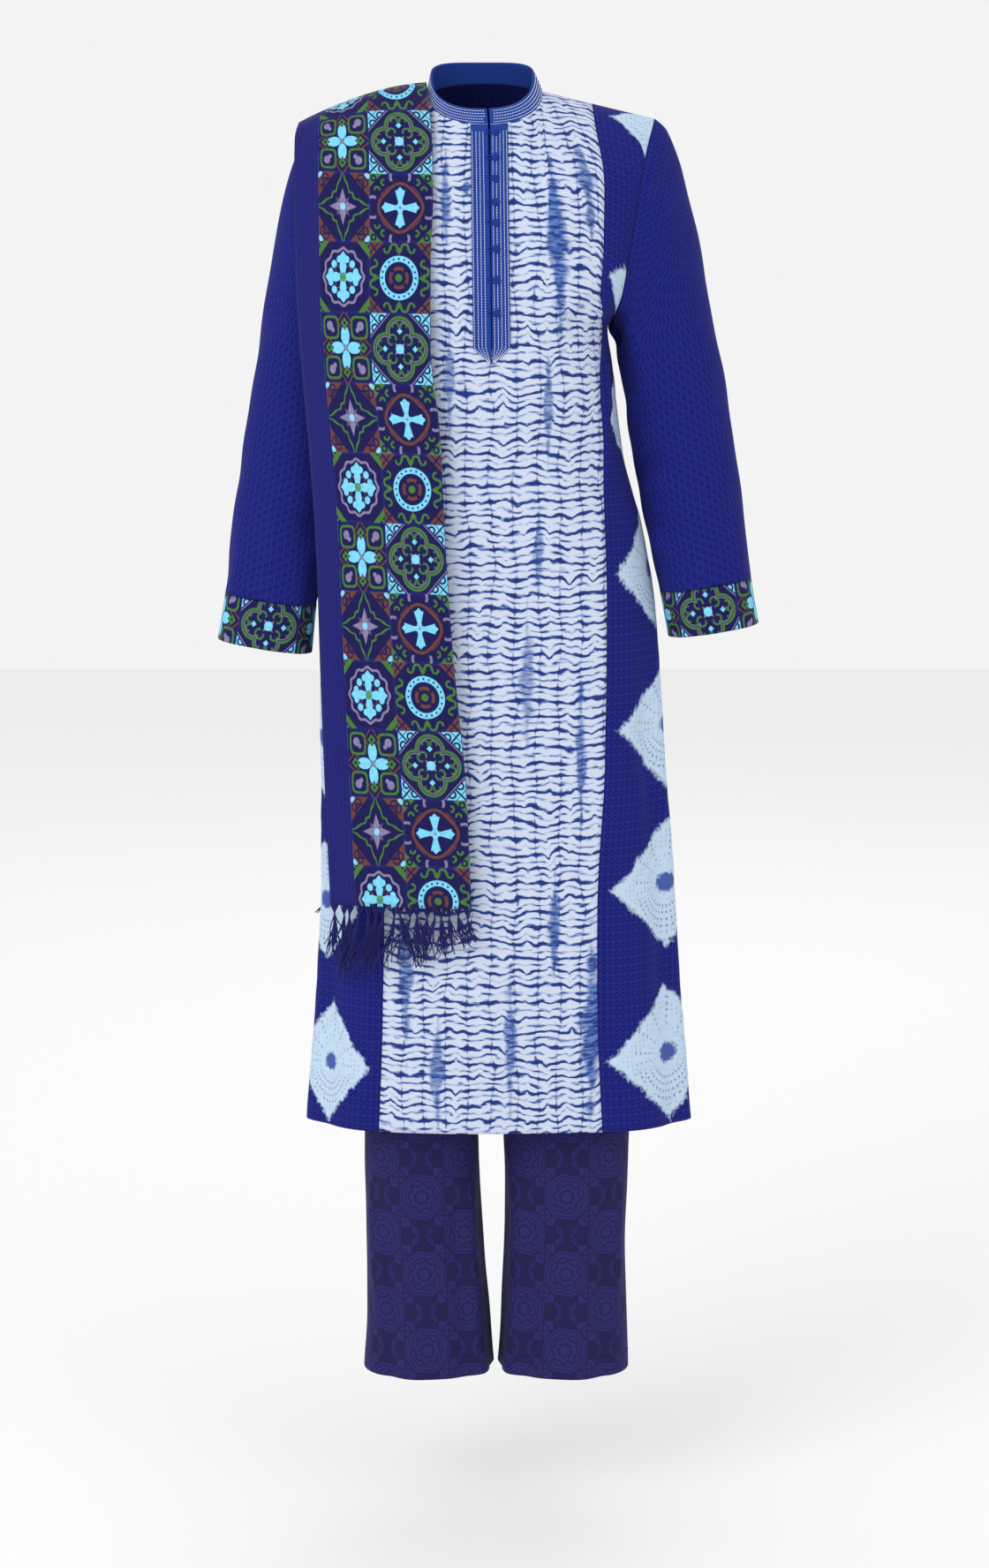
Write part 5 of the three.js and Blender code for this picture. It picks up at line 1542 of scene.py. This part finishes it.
def tile_motifs(p, q, colours):
    """Six traditional motifs of tile panels by formula, each a list of (colour, amount) from the tile's own
    places p and q, which are -1 to 1 from side to side."""
    ground, blue, green, brown, mauve = colours
    a, b = abs(p).either(abs(q)), abs(p).both(abs(q))
    reach = distance(p, q)
    slant, square = (a + b) / 2**0.5, (a - b) / 2**0.5
    angle = q.math("ARCTAN2", p)
    petals = angle.wave(math.pi / 2)
    scallop = angle.wave(math.pi / 6)

    def spot(x, y, size):
        return distance(a - x, b - y).below(size, 0.03)

    def ring_at(x, y, size, wall):
        return distance(a - x, b - y).near(size, wall, 0.03)

    corner = 2.0 - a - b
    notch = abs(a - b).below(0.04, 0.03)
    arms = (b + abs(a - 0.3) * 0.25).below(0.14, 0.03) * a.below(0.6, 0.03)
    fleury = arms.either(spot(0.5, 0.15, 0.1)).either(spot(0.36, 0.36, 0.11))
    fleury = fleury.either((abs(a - 0.6) + b).below(0.13))
    medallion = [
        (mauve, (reach - scallop * 0.035).near(0.78, 0.04, 0.03)),
        (blue, fleury * (1.0 - spot(0.3, 0.2, 0.05))), (green, reach.below(0.13, 0.03)),
        (green, corner.below(0.44, 0.04) * (1.0 - corner.below(0.2, 0.03) * (1.0 - notch))),
        (brown, spot(0.3, 0.2, 0.035)),
    ]
    box = distance((a - 0.57).squared(), (b - 0.57).squared()).root()
    petal = distance((a - 0.34) / 0.27, b / 0.17)
    flower = [
        (green, box.near(0.3, 0.035, 0.03)), (mauve, spot(0.62, 0.62, 0.13)), (mauve, spot(0.5, 0.5, 0.07)),
        (brown, (abs(a - 0.72) * 0.8 + b).near(0.27, 0.03, 0.03)),
        (green, (abs(a - 0.7) + b).below(0.16, 0.03) * (1.0 - (abs(a - 0.7) + b).below(0.06, 0.03))),
        (blue, petal.below(1.0, 0.12) * (1.0 - (abs(a - 0.62) + b * 1.4).below(0.13, 0.03))),
        (mauve, reach.below(0.08, 0.03)),
    ]
    zigzag = abs(p).root() + abs(q).root()
    leaf = (1.0 - a.below(0.2, 0.04)) * (1.0 - ring_at(0.82, 0.7, 0.12, 0.025))
    star = [
        (brown, corner.below(0.72, 0.04) * leaf * (1.0 - abs(a - 0.78).below(0.03, 0.03))),
        (green, (zigzag + scallop * 0.035).near(1.2, 0.04, 0.03)),
        (mauve, (a * 0.36 + b).below(0.19, 0.03).either((square * 1.6 + slant * 0.42).below(0.17, 0.03))),
        (ground, square.below(0.02, 0.02) * reach.near(0.3, 0.14, 0.03)),
        (blue, reach.below(0.1, 0.03)), (blue, spot(0.95, 0.9, 0.07)),
    ]
    beads = angle.wave(math.pi / 10).near(1.0, 0.5, 0.3)
    ring = [
        (blue, reach.near(0.54, 0.085, 0.03) * (1.0 - beads * reach.near(0.54, 0.03, 0.03))),
        (brown, reach.near(0.27, 0.05, 0.03) * (1.0 - spot(0.2, 0.2, 0.06))),
        (green, reach.below(0.11, 0.03)),
        (green, ring_at(0.84, 0.18, 0.11, 0.035) * (1.0 - a.below(0.8, 0.04))),
        (green, (abs(a - 0.76) * 0.8 + b).below(0.09, 0.03)),
        (green, ring_at(0.8, 0.4, 0.09, 0.03) * a.below(0.83, 0.04)),
        (brown, corner.below(0.5, 0.04) * (1.0 - corner.near(0.34, 0.03, 0.03)) * (1.0 - notch)),
    ]
    lobes = distance(a - 0.46, b)
    quatrefoil = [
        (blue, corner.below(0.6, 0.03) * (1.0 - ring_at(0.84, 0.58, 0.1, 0.03)) * (1.0 - notch)),
        (ground, corner.near(0.3, 0.02, 0.02) * (1.0 - notch)), (mauve, corner.near(0.68, 0.02, 0.03)),
        (green, lobes.near(0.43, 0.04, 0.03)), (mauve, lobes.near(0.35, 0.014, 0.02)),
        (green, ring_at(0.28, 0.24, 0.12, 0.03) * (1.0 - a.below(0.24, 0.04))),
        (green, ring_at(0.64, 0.13, 0.1, 0.028) * (1.0 - a.below(0.6, 0.04))),
        (blue, (square * 0.5 + slant).below(0.15, 0.03).either((abs(a - 0.5) + b).below(0.09, 0.03))),
    ]
    flare = (b - abs(a - 0.16) * 0.28).below(0.06, 0.03) * a.below(0.5, 0.03)
    ogee = reach - petals * 0.04
    cross = [
        (brown, ogee.near(0.66, 0.045, 0.03)), (brown, ogee.near(0.74, 0.015, 0.02) * a.below(0.62, 0.05)),
        (blue, flare.either((abs(a - 0.5) + b).below(0.1, 0.03))),
        (mauve, ring_at(0.9, 0.0, 0.3, 0.04) * (1.0 - b.below(0.12, 0.05)) * (1.0 - a.below(0.78, 0.05))),
        (green, corner.below(0.42, 0.04) * (1.0 - ring_at(0.86, 0.86, 0.08, 0.03))),
        (green, ring_at(0.74, 0.52, 0.08, 0.03) * (1.0 - b.below(0.5, 0.04))),
        (mauve, reach.below(0.05, 0.03)),
    ]
    return [[medallion, flower, star], [ring, quatrefoil, cross]]


def printed(tree, across, down, colours, row_start, first_column):
    """Tile panels in columns that take turns: medallion, flower and star in one, ring, quatrefoil and cross
    in the next, on a dark ground with a thin frame round each tile."""
    ground, navy, *inks = colours
    column = ((across - first_column) / TILE_WIDTH).math("FLOOR")
    row = ((down - row_start) / TILE_HEIGHT).math("FLOOR")
    p = (across - first_column - (column + 0.5) * TILE_WIDTH) / (TILE_WIDTH / 2)
    q = (down - row_start - (row + 0.5) * TILE_HEIGHT) / (TILE_HEIGHT / 2)
    which_column, which_row = column.cycle(2.0), (-row).cycle(3.0)
    cover = 0.86 + (noise(tree, across / 4.0, down / 4.0, 6.0) - 0.5) * 0.6
    colour = tint(tree, ground, navy, abs(p).either(abs(q)).near(0.97, 0.02, 0.02) * 0.9)
    for column_number, column_motifs in enumerate(tile_motifs(p, q, (ground, *inks))):
        in_column = which_column.near(float(column_number), 0.3, 0.1)
        for row_number, motif in enumerate(column_motifs):
            here = in_column * which_row.near(float(row_number), 0.3, 0.1)
            for ink, amount in motif:
                colour = tint(tree, colour, ink, amount * here * cover)
    return colour


def dupatta_print(tree, across, down, colours):
    """The tile print, with the woven stripes of the selvedge along the edge over the arm."""
    body_colour = printed(tree, across, down, colours, row_start=-29.0, first_column=39.0)
    band = across.near(10.0, 29.0, 1.0)
    lines = across.wave(6.2).near(1.0, 0.5, 0.5)
    plain = tint(tree, body_colour, colours[1], band)
    return tint(tree, plain, colours[0], band * lines * 0.55)


def cuff_print(tree, across, down, colours):
    return printed(tree, across, down, colours, row_start=61.3, first_column=-20.0)


def thread_material(name, colour, roughness):
    material, shader = principled(name, roughness, 0.05, 0.15)
    shader.inputs["Base Color"].default_value = (*colour[:3], 1.0)
    return material


# ---------------------------------------------------------------- the add-on


def colour_property(name, red, green, blue):
    return FloatVectorProperty(name=name, description=f"Colour of {name.lower()}", subtype="COLOR", size=3,
                               min=0, max=1, default=srgb(red, green, blue))


def length_property(name, description, default, low, high):
    return FloatProperty(name=name, description=f"{description} in millimetres", default=default, min=low,
                         max=high)


class SuitSizes(PropertyGroup):
    fold_depth: FloatProperty(name="Fold depth", description="Scale of the creases' heights", default=1.7,
                              min=0.0, max=2.0, subtype="FACTOR")
    cloth: length_property("Cloth", "Thickness of the kameez and trouser cloth", 0.9, 0.2, 3.0)
    band: length_property("Bands", "Thickness of the collar, cuffs and waistband", 1.6, 0.5, 4.0)
    placket: length_property("Placket", "Thickness of the placket strips", 1.5, 0.5, 3.0)
    layer: length_property("Dupatta layer", "Thickness of one layer of the dupatta", 0.5, 0.2, 1.0)
    threads: IntProperty(name="Fringe threads", description="Threads at each end of the dupatta", default=260,
                         min=20, max=400)


class SuitColours(PropertyGroup):
    stripe_ground: colour_property("Stripe ground", 202, 210, 228)
    stripe_line: colour_property("Stripe line", 28, 45, 115)
    stripe_edge: colour_property("Stripe edge", 58, 104, 178)
    blue: colour_property("Blue cloth", 30, 37, 124)
    blue_ring: colour_property("Rings on the blue cloth", 18, 20, 92)
    tie_dye: colour_property("Tied diamonds", 190, 212, 232)
    heart: colour_property("Hearts of the diamonds", 30, 60, 150)
    trim: colour_property("Collar and placket", 30, 62, 146)
    buttons: colour_property("Buttons", 22, 52, 138)
    trousers: colour_property("Trouser lines", 35, 32, 76)
    medallion: colour_property("Trouser medallions", 45, 43, 102)
    tile_ground: colour_property("Tile ground", 28, 26, 80)
    tile_navy: colour_property("Tile frame", 34, 36, 112)
    tile_blue: colour_property("Tile light blue", 130, 220, 250)
    tile_green: colour_property("Tile green", 75, 125, 45)
    tile_brown: colour_property("Tile brown", 110, 66, 48)
    tile_mauve: colour_property("Tile mauve", 140, 130, 165)
    thread: colour_property("Stitching thread", 226, 232, 244)
    fringe: colour_property("Fringe thread", 30, 30, 96)


def colours_of(context):
    return context.scene.suit_colours


def colour_list(context, names):
    return [tuple(getattr(colours_of(context), name)) for name in names.split()]


def tile_colours(context):
    return colour_list(context, "tile_ground tile_navy tile_blue tile_green tile_brown tile_mauve")


def blue_colours(context):
    return colour_list(context, "blue blue_ring tie_dye heart")


class SUIT_OT_kameez(Operator):
    """Builds the body of the kameez"""

    bl_idname = "suit.kameez"
    bl_label = "Kameez"

    def execute(self, context):
        stripe_colours = colour_list(context, "stripe_ground stripe_line stripe_edge")
        stripe = cloth_material("Striped cloth", striped, stripe_colours)
        dyed = cloth_material("Tie-dyed blue cloth", tie_dyed, blue_colours(context))
        add_front_centre(context, stripe)
        add_front_side(context, dyed, "left", 1, LEFT_SPOTS)
        add_front_side(context, dyed, "right", -1, RIGHT_SPOTS)
        add_back(context, dyed)
        return {"FINISHED"}


class SUIT_OT_sleeves(Operator):
    """Builds the sleeves and their printed cuffs"""

    bl_idname = "suit.sleeves"
    bl_label = "Sleeves"

    def execute(self, context):
        blue = cloth_material("Ringed blue cloth", ringed, blue_colours(context))
        cuff = cloth_material("Cuff print", cuff_print, tile_colours(context))
        add_arm(context, "left", 1, LEFT_ARM_ROWS, blue, cuff)
        add_arm(context, "right", -1, RIGHT_ARM_ROWS, blue, cuff)
        return {"FINISHED"}


class SUIT_OT_trim(Operator):
    """Builds the collar, the placket, the buttons with their loops, and the stitching"""

    bl_idname = "suit.trim"
    bl_label = "Trim"

    def execute(self, context):
        colours = colours_of(context)
        royal = cloth_material("Royal blue trim", one_colour, colour_list(context, "trim"), 0.8, 0.05)
        button = cloth_material("Button cloth", one_colour, colour_list(context, "buttons"), 0.7, 0.05)
        white = thread_material("Stitching thread", colours.thread, 0.6)
        add_collar(context, royal)
        add_placket(context, royal)
        add_buttons(button, thread_material("Loop thread", colours.buttons, 0.6))
        stitches("collar_stitching", collar_rows(), white, "royal_trim")
        stitches("placket_stitching", placket_stitch_rows(), white, "royal_trim")
        return {"FINISHED"}


class SUIT_OT_trousers(Operator):
    """Builds the trousers with their waistband and hem stitching"""

    bl_idname = "suit.trousers"
    bl_label = "Trousers"

    def execute(self, context):
        line_colours = colour_list(context, "trousers medallion")
        add_trousers(context, cloth_material("Trouser cloth", medallions, line_colours))
        thread = thread_material("Hem thread", line_colours[1], 0.7)
        stitches("trouser_hem_stitching", trouser_hem_rows(), thread, "trouser_cloth", pitch=3.0, radius=0.3)
        return {"FINISHED"}


class SUIT_OT_dupatta(Operator):
    """Builds the folded dupatta and its fringe"""

    bl_idname = "suit.dupatta"
    bl_label = "Dupatta"

    def execute(self, context):
        add_dupatta(context, cloth_material("Dupatta print", dupatta_print, tile_colours(context)))
        add_fringe(context, thread_material("Fringe thread", colours_of(context).fringe, 0.8))
        return {"FINISHED"}


class SUIT_OT_stage(Operator):
    """Builds the floor, the lights, the sky and the camera"""

    bl_idname = "suit.stage"
    bl_label = "Stage"

    def execute(self, context):
        scene = context.scene
        bpy.ops.mesh.primitive_plane_add(size=14, location=(0, 0, -1.554))
        floor = context.object
        floor.name = "floor"
        material = bpy.data.materials.new("Floor")
        material.use_nodes = True
        shader = material.node_tree.nodes["Principled BSDF"]
        shader.inputs["Base Color"].default_value = (0.92, 0.92, 0.92, 1)
        shader.inputs["Roughness"].default_value = 0.9
        floor.data.materials.append(material)
        for name, place, size, power in (
            ("front_left_light", (-2.4, -3.4, 1.6), 2.6, 62),
            ("front_right_light", (2.6, -3.0, 1.2), 2.6, 10),
            ("back_light", (0.6, 3.4, 1.8), 2.6, 18),
        ):
            data = bpy.data.lights.new(name, "AREA")
            data.size, data.energy = size, power
            light = bpy.data.objects.new(name, data)
            light.location = place
            aim = np.array([0, 0, -0.6]) - np.array(place)
            light.rotation_euler = (math.acos(-aim[2] / np.linalg.norm(aim)), 0,
                                    math.atan2(aim[1], aim[0]) - math.pi / 2)
            scene.collection.objects.link(light)
        world = bpy.data.worlds.new("Studio")
        world.use_nodes = True
        world.node_tree.nodes["Background"].inputs["Color"].default_value = (1, 1, 1, 1)
        world.node_tree.nodes["Background"].inputs["Strength"].default_value = 0.9
        scene.world = world
        data = bpy.data.cameras.new("camera")
        data.lens, data.sensor_width = 92.49, 36
        camera = bpy.data.objects.new("camera", data)
        camera.location = (0.007, -4.34, -0.039)
        camera.rotation_euler = (math.radians(90 - 9.24), 0, 0)
        scene.collection.objects.link(camera)
        scene.camera = camera
        scene.view_settings.view_transform = "Standard"
        return {"FINISHED"}


class SUIT_PT_panel(Panel):
    """Sizes, colours and the buttons that build the suit"""

    bl_idname = "SUIT_PT_panel"
    bl_label = "Salwar kameez suit"
    bl_space_type = "VIEW_3D"
    bl_region_type = "UI"
    bl_category = "Suit"

    def draw(self, context):
        for group in (context.scene.suit_sizes, context.scene.suit_colours):
            for name in group.__annotations__:
                self.layout.prop(group, name)
        for operator in OPERATORS:
            self.layout.operator(operator.bl_idname)


OPERATORS = (SUIT_OT_kameez, SUIT_OT_sleeves, SUIT_OT_trim, SUIT_OT_trousers, SUIT_OT_dupatta, SUIT_OT_stage)
CLASSES = (SuitSizes, SuitColours, *OPERATORS, SUIT_PT_panel)


def register():
    for cls in CLASSES:
        bpy.utils.register_class(cls)
    bpy.types.Scene.suit_sizes = PointerProperty(type=SuitSizes)
    bpy.types.Scene.suit_colours = PointerProperty(type=SuitColours)


def unregister():
    del bpy.types.Scene.suit_colours
    del bpy.types.Scene.suit_sizes
    for cls in reversed(CLASSES):
        bpy.utils.unregister_class(cls)


def write_sizes():
    bpy.context.view_layer.update()


def main():
    register()
    bpy.ops.suit.kameez()
    bpy.ops.suit.sleeves()
    bpy.ops.suit.trim()
    bpy.ops.suit.trousers()
    bpy.ops.suit.dupatta()
    bpy.ops.suit.stage()
    write_sizes()


if __name__ == "__main__":
    main()
